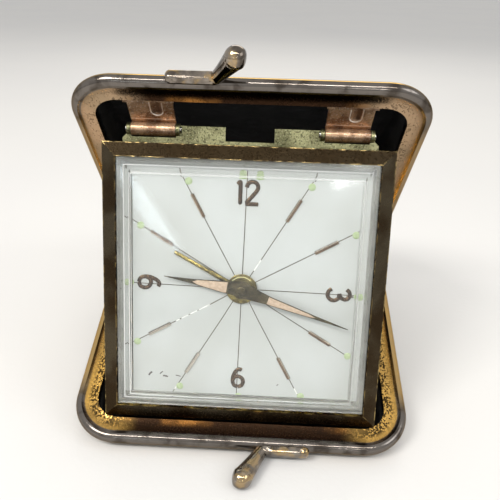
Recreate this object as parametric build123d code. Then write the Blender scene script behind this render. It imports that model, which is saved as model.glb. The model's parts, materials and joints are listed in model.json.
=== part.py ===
from build123d import *
import os
from math import atan2, cos, degrees, hypot, pi, radians, sin, sqrt

# Folding travel clock in a purse case: two metal purse frames with a soft pouch, and a square
# alarm clock that hangs from the rear frame and stands on the front one.
# Millimetres. X is to the right, Y away from the person who reads the dial, Z up.
# The origin is on the table, straight below the middle of the clock's face.

# The square face, which the other large sizes follow
bezel_width = 60.0
bezel_extra_height = 0.2
bezel_height = bezel_width + bezel_extra_height
bezel_band = 2.9
bezel_raise = 0.9
bezel_skirt = 5.0
bezel_sheet = 0.8

# The two purse frames, with room for the clock between their legs
clock_side_room = 8.0
clock_end_room = 2.0
frame_width = bezel_width + clock_side_room * 2
leg_length = bezel_height + clock_end_room
frame_corner = 10.7
open_angle = 74.1
front_tilt = 18.8
bar_height = 4.1
rim_thickness = 2.95
band_width = 5.2
band_hollow = 0.3
back_lip = 3.4
frame_sheet = 0.7
mouth_gap = 0.15

# The hinge ears at the ends of the legs and the two rivets through them
ear_radius = 2.4
ear_thickness = 0.8
ear_side_gap = 0.2
ear_end_gap = 0.5
neck_length = 3.8
rivet_radius = 0.8
rivet_head_radius = 1.5
rivet_head = 0.5
rivet_dome_share = 0.8
running_gap = 0.05
rivet_head_gap = 0.1

# The clasp: a strip soldered to each bar, a tapered arm and a ball
ball_radius = 1.85
ball_reach = 6.9
rear_ball_x = -2.55
front_ball_x = 1.3
clasp_strip_length = 10.0
clasp_strip_thickness = 0.85
clasp_strip_depth = 2.0
clasp_strip_offset = 3.9
arm_root_radius = 1.0
arm_profile_shares = ((0.0, 1.0), (0.35, 1.18), (0.7, 1.5), (0.9, 1.69))
strip_corner_share = 0.9
strip_end_share = 0.8
dimple_radius = 0.7
dimple_depth = 0.2
dimple_inset = 1.3

# The pouch: leather outside, velvet inside, each half cut to its own frame
pouch_inset = 3.6
pouch_corner = 7.0
pouch_round = 3.2
pouch_end_shift = 6.0
leather_thickness = 1.2
lining_thickness = 0.6
welt_thickness = 0.55
welt_inset = 1.2
parting_gap = 0.15
seam_gap = 0.05

# Where the clock hangs and stands
foot_gap = 0.5
pin_rise = 2.9
pin_depth = 8.0

# The crystal, the surround under it and the dial
crystal_gap = 0.1
crystal_flange = 0.8
crystal_bevel = 3.0
crystal_height = 2.4
crystal_wall = 1.1
crystal_dome = 0.7
crystal_seat = 0.5
surround_band = 1.5
dial_depth = 3.2
dial_thickness = 0.4
dial_shift_x = -0.5
dial_shift_v = -0.6
dial_turn = 1.0
dial_hole = 2.2
boss_radius = 3.1
boss_height = 0.3
dial_reach = bezel_width / 2 - bezel_band - surround_band
baton_inner_share = 0.6914
baton_outer_share = 0.90625
baton_width = 0.8
baton_height = 0.35
hours_on_dial = 12
hours_between_numbers = 3

# The case of the clock
case_inset = 1.0
case_width = bezel_width - case_inset * 2
case_corner = 3.0
case_sheet = 0.7
cover_sheet = 0.6
cover_screw_radius = 0.7
cover_screw_head = 1.3
cover_screw_inset = 5.2
cover_screw_length = 3.0
screw_head_height = 0.5
screw_round_share = 0.4
screw_slot_step = 37.0
post_radius = 1.6

# The hinge plate on the case and the two brackets on the rear bar
plate_sheet = 0.7
plate_inset = 1.3
plate_width = case_width - plate_inset * 2
plate_chamfer = 2.9
plate_rise = 3.8
plate_foot = 4.6
notch_width = 10.6
notch_depth = 3.0
notch_tab_radius = 0.8
notch_tab_height = 0.9
bracket_width = 9.6
plate_end = 2.0
bracket_spacing = plate_width - bracket_width - plate_end * 2
bracket_sheet = 0.6
bracket_hem = 2.4
groove_width = 2.6
groove_share = 0.34
groove_depth = 0.55
lip_overhang = 0.45
groove_shift_share = 0.12
knuckle_radius = 1.45
pin_radius = 0.8
lug_radius = 1.35
lug_thickness = 0.8
lug_gap = 0.12
pin_overhang = 0.3

# The hands and the tubes that carry them, one inside the next
arbor_radius = 0.6
tube_gap = 0.05
tube_wall = 0.4
hand_sheet = 0.22
alarm_hand_depth = 2.75
hour_hand_depth = 2.2
minute_hand_depth = 1.7
alarm_hand_share = 0.6484
hour_hand_share = 0.6641
minute_hand_share = 0.9609
alarm_hand_width = 0.7
hour_hand_width = 2.7
minute_hand_width = 2.1
hand_neck_width = 0.9
hub_overlap_share = 0.8
blade_widest_share = 0.3
alarm_hub = 2.75
hour_hub = 2.2
minute_hub = 1.9
minute_angle = 108.2
hour_angle = 278.2
alarm_angle = 297.7
cap_radius = 1.0
cap_height = 0.45
cap_round_share = 0.6

# The dial train: minute pinion to minute wheel, its own pinion to the hour wheel
train_distance = 6.0
cannon_teeth = 12
minute_wheel_teeth = 36
minute_pinion_teeth = 10
hour_wheel_teeth = 40
minute_wheel_angle = -62.0
wheel_sheet = 0.4
wheel_gap = 0.15
alarm_teeth = 48
alarm_pinion_teeth = 12
alarm_distance = 7.5
alarm_set_angle = 145.0
set_arbor_radius = 0.5
post_pin_radius = 0.5

# The movement's plates
movement_room = 7.5
movement_radius = case_width / 2 - movement_room
plate_thickness = 0.9
train_room = 0.8
back_room = 1.3
pillar_radius = 1.5
pillar_inset = 2.9
pillar_circle = movement_radius - pillar_inset
pillar_count = 4
pillar_start = 0.0

# The two spring barrels; the time barrel has teeth and drives the centre pinion
time_barrel_share = 0.4651
alarm_barrel_share = 0.5349
time_barrel_angle = 215.0
alarm_barrel_angle = 35.0
alarm_barrel_radius_share = 0.3535
barrel_teeth = 66
barrel_height = 2.5
barrel_lift = 1.0
barrel_lid_share = 0.8
key_arbor_radius = 0.9

# The going train: centre wheel and third wheel, and the balance that sits under the regulator
centre_pinion_teeth = 9
centre_wheel_teeth = 64
third_pinion_teeth = 8
third_wheel_teeth = 60
third_distance_share = 0.3349
third_angle = 305.0
third_module_share = 0.8
pivot_radius = 0.4
balance_radius_share = 0.2
balance_rim = 0.8
balance_arm = 0.7
balance_thickness = 0.6
balance_lift = 2.0
cock_thickness = 0.7
cock_width = 3.6
cock_foot_radius = 1.8

# Depths behind the face, counted through everything that lies between the dial and the back
front_plate_depth = dial_depth + dial_thickness + wheel_sheet * 3 + wheel_gap * 4 + train_room
plates_apart = barrel_lift + barrel_height + wheel_sheet + wheel_gap * 4
back_plate_depth = front_plate_depth + plate_thickness * 2 + plates_apart
case_depth = back_plate_depth + back_room + cover_sheet

# What stands out of the back: keys, set knobs, stop button and regulator
key_width = 8.5
key_thickness = 1.0
key_height = 3.2
key_wing_share = 0.8
key_corner_share = 0.35
key_collar_radius = 1.7
key_collar_height = 0.6
set_knob_radius = 2.3
set_knob_height = 2.0
knob_notches = 16
knob_round_share = 0.15
notch_radius = 0.22
knob_lift = 0.4
hole_gap = 0.1
stop_radius = 1.2
stop_lift = 1.6
stop_length = 4.4
stop_collar = 1.9
stop_collar_height = 0.6
stop_round_share = 0.4
stop_x_share = 0.69
stop_y_share = 0.483
regulator_radius = 5.5
regulator_width = 0.9
regulator_hub = 1.1
regulator_x_share = -0.4186
regulator_y_share = 0.5581
regulator_swing = 18.0
wedge_share = 3.0
overrun = 4.0

# Directions in the Y-Z plane
rear_tilt = front_tilt - open_angle
half_open = open_angle / 2


def along(angle):
    """Unit step (y, z) at an angle above the horizontal."""
    return cos(radians(angle)), sin(radians(angle))


def stepped(start, angle, distance):
    y, z = along(angle)
    return start[0] + y * distance, start[1] + z * distance


# The three lines that the whole part hangs on: front edge, case hinge and rear edge
front_edge = (0.0, bar_height)
hinge_line = stepped(front_edge, front_tilt, leg_length)
rear_edge = stepped(hinge_line, rear_tilt, -leg_length)

# The clock's foot stands on the front frame's mouth, just inside the band. Its pin is as far
# along the rear frame as the clock's height then reaches.
pin_height = bezel_height / 2 + pin_rise
foot_drop = pin_height + bezel_height / 2
foot_radius = hypot(foot_drop, pin_depth)
foot_to_hinge = leg_length - band_width - foot_gap
foot_above = foot_to_hinge * sin(radians(open_angle))
pin_to_hinge = foot_to_hinge * cos(radians(open_angle)) + sqrt(foot_radius**2 - foot_above**2)
pin_setback = leg_length - pin_to_hinge
pin_line = stepped(rear_edge, rear_tilt, pin_setback)
foot_line = stepped(front_edge, front_tilt, band_width + foot_gap)
lean_back = degrees(
    atan2(pin_line[0] - foot_line[0], pin_line[1] - foot_line[1]) - atan2(pin_depth, foot_drop)
)
up_y, up_z = sin(radians(lean_back)), cos(radians(lean_back))
face_y = pin_line[0] - pin_height * up_y - pin_depth * up_z
face_z = pin_line[1] - pin_height * up_z + pin_depth * up_y


def half_plane(edge, angle):
    """Local X to the right, Y from the clasp edge to the hinge, Z square to the mouth."""
    y, z = along(angle)
    return Plane(origin=(0, edge[0] - face_y, edge[1]), x_dir=(1, 0, 0), z_dir=(0, -z, y))


front_plane = half_plane(front_edge, front_tilt)
rear_plane = half_plane(rear_edge, rear_tilt)
clock_plane = Plane(origin=(0, 0, face_z), x_dir=(1, 0, 0), z_dir=(0, -up_z, up_y))


def in_front(shape):
    """A half is drawn with its depth along +Z, so the front one is mirrored first."""
    return front_plane.location * mirror(shape, about=Plane.XY)


def in_rear(shape):
    return rear_plane.location * shape


def in_clock(shape):
    return clock_plane.location * shape


def disc(radius, height, x=0.0, y=0.0, z=0.0):
    """Cylinder that stands on its lower end."""
    bottom = (Align.CENTER, Align.CENTER, Align.MIN)
    return Pos(x, y, z) * Cylinder(radius, height, align=bottom)


def slab(width, depth, height, x=0.0, y=0.0, z=0.0):
    """Box centred on x and y, that stands on its lower face."""
    bottom = (Align.CENTER, Align.CENTER, Align.MIN)
    return Pos(x, y, z) * Box(width, depth, height, align=bottom)


def across(radius, length, x, y, z):
    """Cylinder along X that starts at x."""
    start = (Align.CENTER, Align.CENTER, Align.MIN)
    return Pos(x, y, z) * Rot(0, 90, 0) * Cylinder(radius, length, align=start)


def side_shape(points, x, thickness):
    """A plate in the Y-Z plane, from x to x plus its thickness."""
    face = make_face(Polyline(*[(x, y, z) for y, z in points], close=True))
    return extrude(face, amount=thickness, dir=(1, 0, 0))


def dial_place(radius, clock_angle):
    """Point on the dial at an angle that runs clockwise from twelve."""
    turn = radians(clock_angle)
    return dial_shift_x + radius * sin(turn), dial_shift_v + radius * cos(turn)


# The purse frames
frame_round = rim_thickness / 2
leg_end = leg_length - ear_radius - ear_end_gap


def frame_section():
    """The rolled rim, with the hollow band on the mouth side and the lip that holds the leather."""
    low = mouth_gap
    high = mouth_gap + rim_thickness
    middle = mouth_gap + frame_round
    inner_low = low + frame_sheet
    inner_high = high - frame_sheet
    band_middle = (band_width + frame_round) / 2
    outline = [
        ThreePointArc((band_width, low), (band_middle, low + band_hollow), (frame_round, low)),
        ThreePointArc((frame_round, low), (0, middle), (frame_round, high)),
        Line((frame_round, high), (back_lip, high)),
        Line((back_lip, high), (back_lip, inner_high)),
        Line((back_lip, inner_high), (frame_round, inner_high)),
        ThreePointArc((frame_round, inner_high), (frame_sheet, middle), (frame_round, inner_low)),
        ThreePointArc(
            (frame_round, inner_low), (band_middle, inner_low + band_hollow), (band_width, inner_low)
        ),
        Line((band_width, inner_low), (band_width, low)),
    ]
    return make_face(Wire(outline))


def hinge_ear(outer_x):
    """The lapped ear that ends a leg, on its neck, with the rivet's hole left to the caller."""
    thick = ear_thickness
    tangent_y = leg_length + ear_radius * cos(pi / 3)
    tangent_z = ear_radius * sin(pi / 3)
    low = mouth_gap
    high = mouth_gap + rim_thickness
    neck = [
        (leg_end - neck_length, low),
        (leg_end - neck_length, high),
        (leg_end, high),
        (tangent_y, tangent_z),
        (leg_length, low),
    ]
    return side_shape(neck, outer_x, thick) + across(ear_radius, thick, outer_x, leg_length, 0)


def purse_frame(ear_inset, hole_radius):
    half = frame_width / 2
    corners = [(-half, leg_end), (-half, 0), (half, 0), (half, leg_end)]
    path = FilletPolyline(*corners, radius=frame_corner)
    start = Plane(origin=(-half, leg_end, 0), x_dir=(1, 0, 0), z_dir=(0, -1, 0))
    frame = sweep(start * frame_section(), path=path)
    left = -half + ear_inset
    for x in (left, -left - ear_thickness):
        frame += hinge_ear(x)
    return frame - across(hole_radius, frame_width, -half, leg_length, 0)


front_ear_inset = ear_thickness + ear_side_gap


def hinge_rivets():
    """Two rivets: each clamps the front ear and runs in the rear one."""
    half = frame_width / 2
    rivets = []
    inner = half - front_ear_inset - ear_thickness
    head_x = half + rivet_head_gap
    for side in (1, -1):
        shank = across(rivet_radius, head_x - inner, inner, 0, 0)
        inside = across(rivet_head_radius, rivet_head, inner - rivet_head, 0, 0)
        outside = across(rivet_head_radius, rivet_head, head_x, 0, 0)
        outer_edge = outside.faces().sort_by(Axis.X)[-1].edges()
        outside = fillet(outer_edge, rivet_head * rivet_dome_share)
        rivet = shank + inside + outside
        rivets.append(rivet if side == 1 else mirror(rivet, about=Plane.YZ))
    return [Pos(0, leg_length, 0) * rivet for rivet in rivets]


def clasp_arm(length):
    """The drop-shaped arm, turned about Z from its root up to the ball."""
    curve = [(arm_root_radius * swell, length * share) for share, swell in arm_profile_shares]
    side = Spline(*curve)
    top = curve[-1]
    bottom = curve[0]
    outline = Wire([side, Line(top, (0, top[1])), Line((0, top[1]), (0, 0)), Line((0, 0), bottom)])
    return revolve(Plane.XZ * make_face(outline), axis=Axis.Z)


def clasp(ball_x, side):
    """Strip on the bar's rim, tapered arm and ball, with the strip on the given side."""
    middle = mouth_gap + frame_round
    near = ball_x + side * clasp_strip_offset
    centre = near + side * clasp_strip_length / 2
    high = middle - clasp_strip_depth / 2
    strip = slab(clasp_strip_length, clasp_strip_thickness * 2, clasp_strip_depth, centre, 0, high)
    strip = fillet(strip.edges().filter_by(Axis.Z), clasp_strip_thickness * strip_corner_share)
    far_edges = strip.faces().sort_by(Axis.Y)[0].edges().filter_by(Axis.X)
    strip = fillet(far_edges, clasp_strip_thickness * strip_end_share)
    root = Vector(near, -clasp_strip_thickness / 2, middle)
    ball = Vector(ball_x, -ball_reach, 0)
    arm = Plane(origin=root, z_dir=ball - root).location * clasp_arm((ball - root).length)
    for end in (1, -1):
        dimple_x = centre + end * (clasp_strip_length / 2 - dimple_inset)
        dimple_z = high + dimple_depth - dimple_radius
        strip -= Pos(dimple_x, -clasp_strip_thickness / 2, dimple_z) * Sphere(dimple_radius)
    body = strip + arm + Pos(ball) * Sphere(ball_radius) + Pos(root) * Sphere(arm_root_radius)
    return body - across(frame_round, frame_width, -frame_width / 2, frame_round, middle)


# The pouch
plate_low = mouth_gap + frame_sheet + band_hollow
pouch_top = plate_low + bracket_sheet + seam_gap


def pouch_block(inset, rise):
    """The pouch of one half as a closed block, smaller by inset on every outer side.

    rise carries it past its own mouth, so that the block can also cut a hollow.
    """
    tilt = radians(front_tilt)
    split = radians(half_open)
    centre_y = leg_length - pouch_end_shift * cos(split)
    centre_z = -pouch_end_shift * sin(split)
    radius = bar_height + centre_y * sin(tilt) - centre_z * cos(tilt)
    reach = radius - inset
    edge = pouch_inset + inset
    floor_end = (centre_y - reach * sin(tilt), centre_z + reach * cos(tilt))
    floor_start = (edge, (bar_height + edge * sin(tilt) - inset) / cos(tilt))
    gap = parting_gap if rise == 0 else -rise
    last = split + gap / reach
    middle = (tilt + pi / 2 + last) / 2
    arc_middle = (centre_y + reach * cos(middle), centre_z + reach * sin(middle))
    arc_end = (centre_y + reach * cos(last), centre_z + reach * sin(last))
    top = pouch_top - rise
    corner_y = leg_length + (top * cos(split) - gap) / sin(split)
    outline = [
        Line((edge, top), floor_start),
        Line(floor_start, floor_end),
        ThreePointArc(floor_end, arc_middle, arc_end),
        Line(arc_end, (corner_y, top)),
        Line((corner_y, top), (edge, top)),
    ]
    side = Plane(origin=(0, 0, 0), x_dir=(0, 1, 0), z_dir=(1, 0, 0))
    half = frame_width / 2 - pouch_inset - inset
    block = extrude(side * make_face(Wire(outline)), amount=half, both=True)
    upright = block.edges().filter_by(Axis.Z).sort_by(Axis.Y)[:2]
    block = fillet(upright, pouch_corner - inset)
    low = [e for e in block.edges() if e.position_at(1 / 2).Z > pouch_top + pouch_round / 2]
    low = [e for e in low if not is_parting(e, corner_y, top, arc_end)]
    return fillet(ShapeList(low), pouch_round - inset)


def is_parting(edge, corner_y, top, arc_end):
    """True for an edge in the plane where the two halves of the pouch meet."""
    slope = (arc_end[1] - top) / (arc_end[0] - corner_y)
    points = (edge @ 0, edge @ (1 / 2), edge @ 1)
    return all(abs(p.Z - top - slope * (p.Y - corner_y)) < seam_gap for p in points)


def leather_half():
    """The leather: the pouch wall and the welt that the frame grips."""
    wall = pouch_block(0, 0) - pouch_block(leather_thickness, overrun)
    half = frame_width / 2
    outer = RectangleRounded(
        frame_width - welt_inset * 2, leg_end * 2, frame_corner - welt_inset
    )
    hole_inset = pouch_inset + leather_thickness
    inner = RectangleRounded(
        frame_width - hole_inset * 2,
        leg_end * 2 - (hole_inset - welt_inset) * 2,
        pouch_corner - leather_thickness,
    )
    welt = extrude(outer - inner, amount=welt_thickness)
    welt = Pos(0, leg_end + welt_inset, pouch_top) * welt
    welt_end = leg_end - neck_length - seam_gap * 4
    keep = slab(frame_width, welt_end, rim_thickness, 0, welt_end / 2, 0)
    welt = welt & keep
    return wall + welt


def lining_half():
    """The velvet lining, glued inside the leather."""
    return pouch_block(leather_thickness + seam_gap, 0) - pouch_block(
        leather_thickness + lining_thickness, overrun
    )


# The brackets on the rear bar, drawn in the rear half's frame
def hinge_bracket(x):
    """A hem behind the band, a plate with a pressed groove, and a knuckle round the pin."""
    low = plate_low
    start = band_width - bracket_hem
    length = pin_setback - start
    plate = slab(bracket_width, length, bracket_sheet, x, start + length / 2, low)
    lip_width = bracket_width + lip_overhang * 2
    lip_height = low - mouth_gap
    lip = slab(lip_width, bracket_sheet, lip_height, x, band_width + bracket_sheet / 2, mouth_gap)
    behind = slab(bracket_width, pin_setback, overrun, x, pin_setback / 2, low)
    plate = plate + lip + (pressed_groove(x, low, bracket_sheet) & behind)
    plate -= pressed_groove(x, low, 0)
    start_x = x - bracket_width / 2
    knuckle = across(knuckle_radius, bracket_width, start_x, pin_setback, 0)
    bore = bracket_width + overrun
    hole = across(pin_radius + running_gap, bore, start_x - overrun / 2, pin_setback, 0)
    return plate + knuckle - hole


def pressed_groove(x, z, extra):
    """The round-bottomed groove that starts at the lip, larger by extra on every side."""
    radius = (groove_width**2 / 4 + groove_depth**2) / (groove_depth * 2)
    start = band_width + bracket_sheet + groove_width / 2
    run = (pin_setback - start) * groove_share
    middle = z + groove_depth - radius
    size = radius + extra
    side = size * sqrt(0.5)
    tip, tail = (0, start - size), (0, start + run + size)
    line = Line(tip, tail) + ThreePointArc(tail, (side, start + run + side), (size, start + run))
    line += Line((size, start + run), (size, start))
    line += ThreePointArc((size, start), (side, start - side), tip)
    half = make_face(line)
    return Pos(x + bracket_width * groove_shift_share, 0, middle) * revolve(Rot(0, 90, 0) * half, Axis.Y)


# The clock, drawn in its own frame: X right, Y up along the face, Z out of the face
def bezel():
    """Mitred bezel: a band that rises inwards, a skirt round the case and the crystal's seat."""
    inner_width = bezel_width - bezel_band * 2
    inner_height = bezel_height - bezel_band * 2
    low = Plane.XY * Rectangle(bezel_width, bezel_height)
    high = Plane.XY.offset(bezel_raise) * Rectangle(inner_width, inner_height)
    body = loft([low, high])
    body += slab(bezel_width, bezel_height, bezel_skirt, 0, 0, -bezel_skirt)
    body -= slab(
        bezel_width - bezel_sheet * 2,
        bezel_height - bezel_sheet * 2,
        bezel_skirt - bezel_sheet,
        0,
        0,
        -bezel_skirt,
    )
    return body - slab(inner_width, inner_height, bezel_skirt + overrun, 0, 0, -bezel_skirt)


def crystal():
    """Clear moulded glass: a flange, a bevelled step all round and a low dome."""
    outer = bezel_width - bezel_band * 2 - crystal_gap * 2
    top = outer - crystal_bevel * 2
    base = -crystal_seat
    flange = slab(outer, outer, crystal_flange, 0, 0, base)
    shoulder = outer - crystal_bevel
    step = loft(
        [
            Plane.XY.offset(base + crystal_flange) * Rectangle(shoulder, shoulder),
            Plane.XY.offset(base + crystal_height) * Rectangle(top, top),
        ]
    )
    dome_radius = (top**2 / 2 + crystal_dome**2) / (crystal_dome * 2)
    ball = Pos(0, 0, base + crystal_height + crystal_dome - dome_radius) * Sphere(dome_radius)
    dome = slab(top, top, crystal_dome, 0, 0, base + crystal_height) & ball
    hollow = loft(
        [
            Plane.XY.offset(base) * Rectangle(top + crystal_wall, top + crystal_wall),
            Plane.XY.offset(base + crystal_height - crystal_wall)
            * Rectangle(top - crystal_wall, top - crystal_wall),
        ]
    )
    return flange + step + dome - hollow


def dial_surround():
    """The plain metal frame between the crystal and the dial."""
    outer_width = bezel_width - bezel_sheet * 2 - crystal_gap * 2
    outer_height = bezel_height - bezel_sheet * 2 - crystal_gap * 2
    inner = bezel_width - (bezel_band + surround_band) * 2
    low = -dial_depth
    body = slab(outer_width, outer_height, dial_depth - crystal_seat - bezel_sheet, 0, 0, low)
    seat_width = bezel_width - bezel_band * 2 - crystal_gap * 2
    seat_bottom = -crystal_seat - bezel_sheet
    body += slab(seat_width, seat_width, bezel_sheet, 0, 0, seat_bottom)
    opening = loft(
        [
            Plane.XY.offset(low) * Rectangle(inner, inner),
            Plane.XY.offset(-crystal_seat) * Rectangle(inner + surround_band, inner + surround_band),
        ]
    )
    return body - opening


def dial():
    width = bezel_width - bezel_sheet * 2 - crystal_gap * 4
    plate = slab(width, width, dial_thickness, 0, 0, -dial_depth - dial_thickness)
    x, y = dial_place(0, 0)
    return plate - disc(dial_hole, dial_thickness + overrun, x, y, -dial_depth - overrun)


def centre_boss():
    x, y = dial_place(0, 0)
    ring = disc(boss_radius, boss_height, x, y, -dial_depth)
    ring = fillet(ring.faces().sort_by(Axis.Z)[-1].edges(), boss_height / 2)
    return ring - disc(dial_hole, boss_height + overrun, x, y, -dial_depth - overrun / 2)


def hour_batons():
    """Applied bars at the eight hours without a number, bevelled along both sides."""
    batons = []
    length = dial_reach * (baton_outer_share - baton_inner_share)
    middle = dial_reach * (baton_outer_share + baton_inner_share) / 2
    for hour in range(hours_on_dial):
        if hour % hours_between_numbers == 0:
            continue
        angle = hour * 360 / hours_on_dial + dial_turn
        x, y = dial_place(middle, angle)
        bar = slab(baton_width, length, baton_height)
        top = bar.faces().sort_by(Axis.Z)[-1].edges().filter_by(Axis.Y)
        bar = chamfer(top, baton_height / 2)
        batons.append(Pos(x, y, -dial_depth) * Rot(0, 0, -angle) * bar)
    return batons


def clock_case():
    """The drawn case: four walls with rounded corners and a turned-in front rim."""
    low = -case_depth + cover_sheet
    height = case_depth - cover_sheet - dial_depth - dial_thickness
    outer = RectangleRounded(case_width, case_width, case_corner)
    inner_width = case_width - case_sheet * 2
    inner = RectangleRounded(inner_width, inner_width, case_corner - case_sheet)
    walls = Pos(0, 0, low) * extrude(outer - inner, amount=height)
    return walls + Pos(0, 0, low) * cover_posts()


def cover_posts():
    """Four posts in the corners that take the back cover's screws."""
    reach = case_width / 2 - cover_screw_inset
    posts = Part()
    inner = case_width / 2 - case_sheet / 2
    height = cover_screw_length + screw_head_height
    for sx in (1, -1):
        for sy in (1, -1):
            post = disc(post_radius, height, sx * reach, sy * reach)
            run = inner - reach
            web = slab(run, post_radius, height, sx * (reach + run / 2), sy * reach)
            post += web
            posts += post - disc(cover_screw_radius, height, sx * reach, sy * reach)
    return posts


def case_bottom(height):
    """The place of something that reaches this far behind the back cover."""
    return -case_depth - height


def back_cover():
    """The back of the case, with a hole for each arbor and button and a slot for the regulator."""
    outer = RectangleRounded(case_width, case_width, case_corner)
    cover = Pos(0, 0, -case_depth) * extrude(outer, amount=cover_sheet)
    low = -case_depth - overrun / 2
    holes = [(arbor_radius, dial_place(0, 0)), (set_arbor_radius, alarm_set_place())]
    holes += [(key_arbor_radius, place) for place in (time_barrel_place, alarm_barrel_place)]
    holes += [(stop_radius, stop_place)]
    for radius, (x, y) in holes:
        cover -= disc(radius + hole_gap, overrun, x, y, low)
    reach = case_width / 2 - cover_screw_inset
    for sx in (1, -1):
        for sy in (1, -1):
            cover -= disc(cover_screw_radius + hole_gap, overrun, sx * reach, sy * reach, low)
    return cover - regulator_slot(low)


def regulator_slot(low):
    """Curved slot that the regulator's pointer shows and moves in."""
    x, y = regulator_place
    radius = regulator_radius
    width = regulator_width + hole_gap * 4
    ring = disc(radius + width, overrun, x, y, low) - disc(radius - width, overrun, x, y, low)
    swing = regulator_swing + degrees(width / radius)
    side = radius * wedge_share
    wedge = Polyline(
        (x, y, low),
        (x + side * sin(radians(-swing)), y + side * cos(radians(swing)), low),
        (x + side * sin(radians(swing)), y + side * cos(radians(swing)), low),
        close=True,
    )
    return ring & extrude(make_face(wedge), amount=overrun, dir=(0, 0, 1))


def cover_screws():
    screws = []
    reach = case_width / 2 - cover_screw_inset
    for sx in (1, -1):
        for sy in (1, -1):
            head = disc(cover_screw_head, screw_head_height, 0, 0, -case_depth - screw_head_height)
            head = fillet(head.faces().sort_by(Axis.Z)[0].edges(), screw_head_height * screw_round_share)
            shank = disc(cover_screw_radius, cover_screw_length, 0, 0, -case_depth)
            slot = slab(cover_screw_head * 2, screw_head_height / 2, screw_head_height / 2)
            turn = screw_slot_step * (sx + sy * 2)
            slot = Pos(0, 0, -case_depth - screw_head_height) * Rot(0, 0, turn) * slot
            screws.append(Pos(sx * reach, sy * reach, 0) * (head + shank - slot))
    return screws


def hinge_plate():
    """The brass plate behind the bezel, with its notch, its foot on the case and four pin lugs."""
    case_top = case_width / 2
    low = -pin_depth - plate_sheet / 2
    top = pin_height - pin_rise + plate_rise
    half = plate_width / 2
    outline = [
        (-half, case_top),
        (-half, top - plate_chamfer),
        (-half + plate_chamfer, top),
        (half - plate_chamfer, top),
        (half, top - plate_chamfer),
        (half, case_top),
    ]
    face = make_face(Polyline(*[(x, y, low) for x, y in outline], close=True))
    plate = extrude(face, amount=plate_sheet, dir=(0, 0, 1))
    plate -= slab(notch_width, notch_depth * 2, overrun, 0, top, low - overrun / 4)
    tab_x = notch_width / 2 + notch_tab_radius
    plate += disc(notch_tab_radius, notch_tab_height, tab_x, top - notch_tab_radius, low)
    foot_low = low - plate_foot + plate_sheet
    plate += slab(plate_width, plate_sheet, plate_foot, 0, case_top + plate_sheet / 2, foot_low)
    room = knuckle_radius + lug_gap * 2
    for side in (1, -1):
        x = side * bracket_spacing / 2
        width = bracket_width + lug_gap * 2
        plate -= slab(width, room * 2, room * 2, x, pin_height, -pin_depth - room)
        for end in (1, -1):
            inner = x + end * width / 2
            start = inner if end == 1 else inner - lug_thickness
            lug = across(lug_radius, lug_thickness, start, pin_height, -pin_depth)
            neck_x = start + lug_thickness / 2
            lug += slab(lug_thickness, pin_rise, plate_sheet, neck_x, pin_height - pin_rise / 2, low)
            lug -= across(pin_radius, overrun, start - overrun / 2, pin_height, -pin_depth)
            margin = pin_overhang + lug_gap
            bore = lug_thickness + margin * 2
            plate -= across(pin_radius, bore, start - margin, pin_height, -pin_depth)
            plate += lug
    return plate


def clock_pins():
    pins = []
    length = bracket_width + (lug_gap + lug_thickness + pin_overhang) * 2
    for side in (1, -1):
        start = side * bracket_spacing / 2 - length / 2
        pins.append(across(pin_radius, length, start, pin_height, -pin_depth))
    return pins


# Toothed wheels
tooth_share = 0.4
tip_share = 0.2
root_share = 0.5
addendum_share = 0.75
dedendum_share = 1.1


def gear(teeth, module, height, phase):
    """A wheel with plain straight-sided teeth; phase turns its first tooth, in degrees."""
    pitch = teeth * module / 2
    levels = (
        (pitch - dedendum_share * module, root_share),
        (pitch, tooth_share),
        (pitch + addendum_share * module, tip_share),
    )
    step = 360 / teeth
    points = []
    for tooth in range(teeth):
        centre = phase + tooth * step
        for side, ordered in ((-1, levels), (1, levels[::-1])):
            for radius, share in ordered:
                turn = radians(centre + side * step * share / 2)
                points.append((radius * sin(turn), radius * cos(turn)))
    face = make_face(Polyline(*points, close=True))
    return extrude(face, amount=height)


# Depths of the dial train, counted down from the dial's back
dial_back = -dial_depth - dial_thickness
alarm_wheel_z = dial_back - wheel_gap - wheel_sheet
hour_wheel_z = alarm_wheel_z - wheel_gap - wheel_sheet
minute_wheel_z = hour_wheel_z - wheel_gap * 2 - wheel_sheet
pinion_height = hour_wheel_z - wheel_gap - minute_wheel_z
front_plate_z = -front_plate_depth - plate_thickness
cannon_module = train_distance * 2 / (cannon_teeth + minute_wheel_teeth)
hour_module = train_distance * 2 / (minute_pinion_teeth + hour_wheel_teeth)
alarm_module = alarm_distance * 2 / (alarm_teeth + alarm_pinion_teeth)
cannon_outer = arbor_radius + tube_gap / 2 + tube_wall
hour_inner = cannon_outer + tube_gap
hour_outer = hour_inner + tube_wall
alarm_inner = hour_outer + tube_gap
alarm_outer = alarm_inner + tube_wall


def alarm_set_place():
    return dial_place(alarm_distance, alarm_set_angle)


# Places in the movement, and the levels of the going train between the plates
time_barrel_distance = movement_radius * time_barrel_share
alarm_barrel_distance = movement_radius * alarm_barrel_share
alarm_barrel_radius = movement_radius * alarm_barrel_radius_share
third_distance = movement_radius * third_distance_share
time_barrel_place = dial_place(time_barrel_distance, time_barrel_angle)
alarm_barrel_place = dial_place(alarm_barrel_distance, alarm_barrel_angle)
third_place = dial_place(third_distance, third_angle)
stop_place = (case_width / 2 * stop_x_share, case_width / 2 * stop_y_share)
regulator_place = (movement_radius * regulator_x_share, movement_radius * regulator_y_share)
barrel_module = time_barrel_distance * 2 / (barrel_teeth + centre_pinion_teeth)
centre_module = third_distance * 2 / (centre_wheel_teeth + third_pinion_teeth)
back_plate_top = -back_plate_depth + plate_thickness
barrel_z = back_plate_top + barrel_lift
centre_wheel_z = back_plate_top + wheel_gap * 2
third_wheel_z = front_plate_z - wheel_gap - wheel_sheet
balance_z = back_plate_top + balance_lift


def minute_wheel_place():
    return dial_place(train_distance, minute_wheel_angle)


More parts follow.
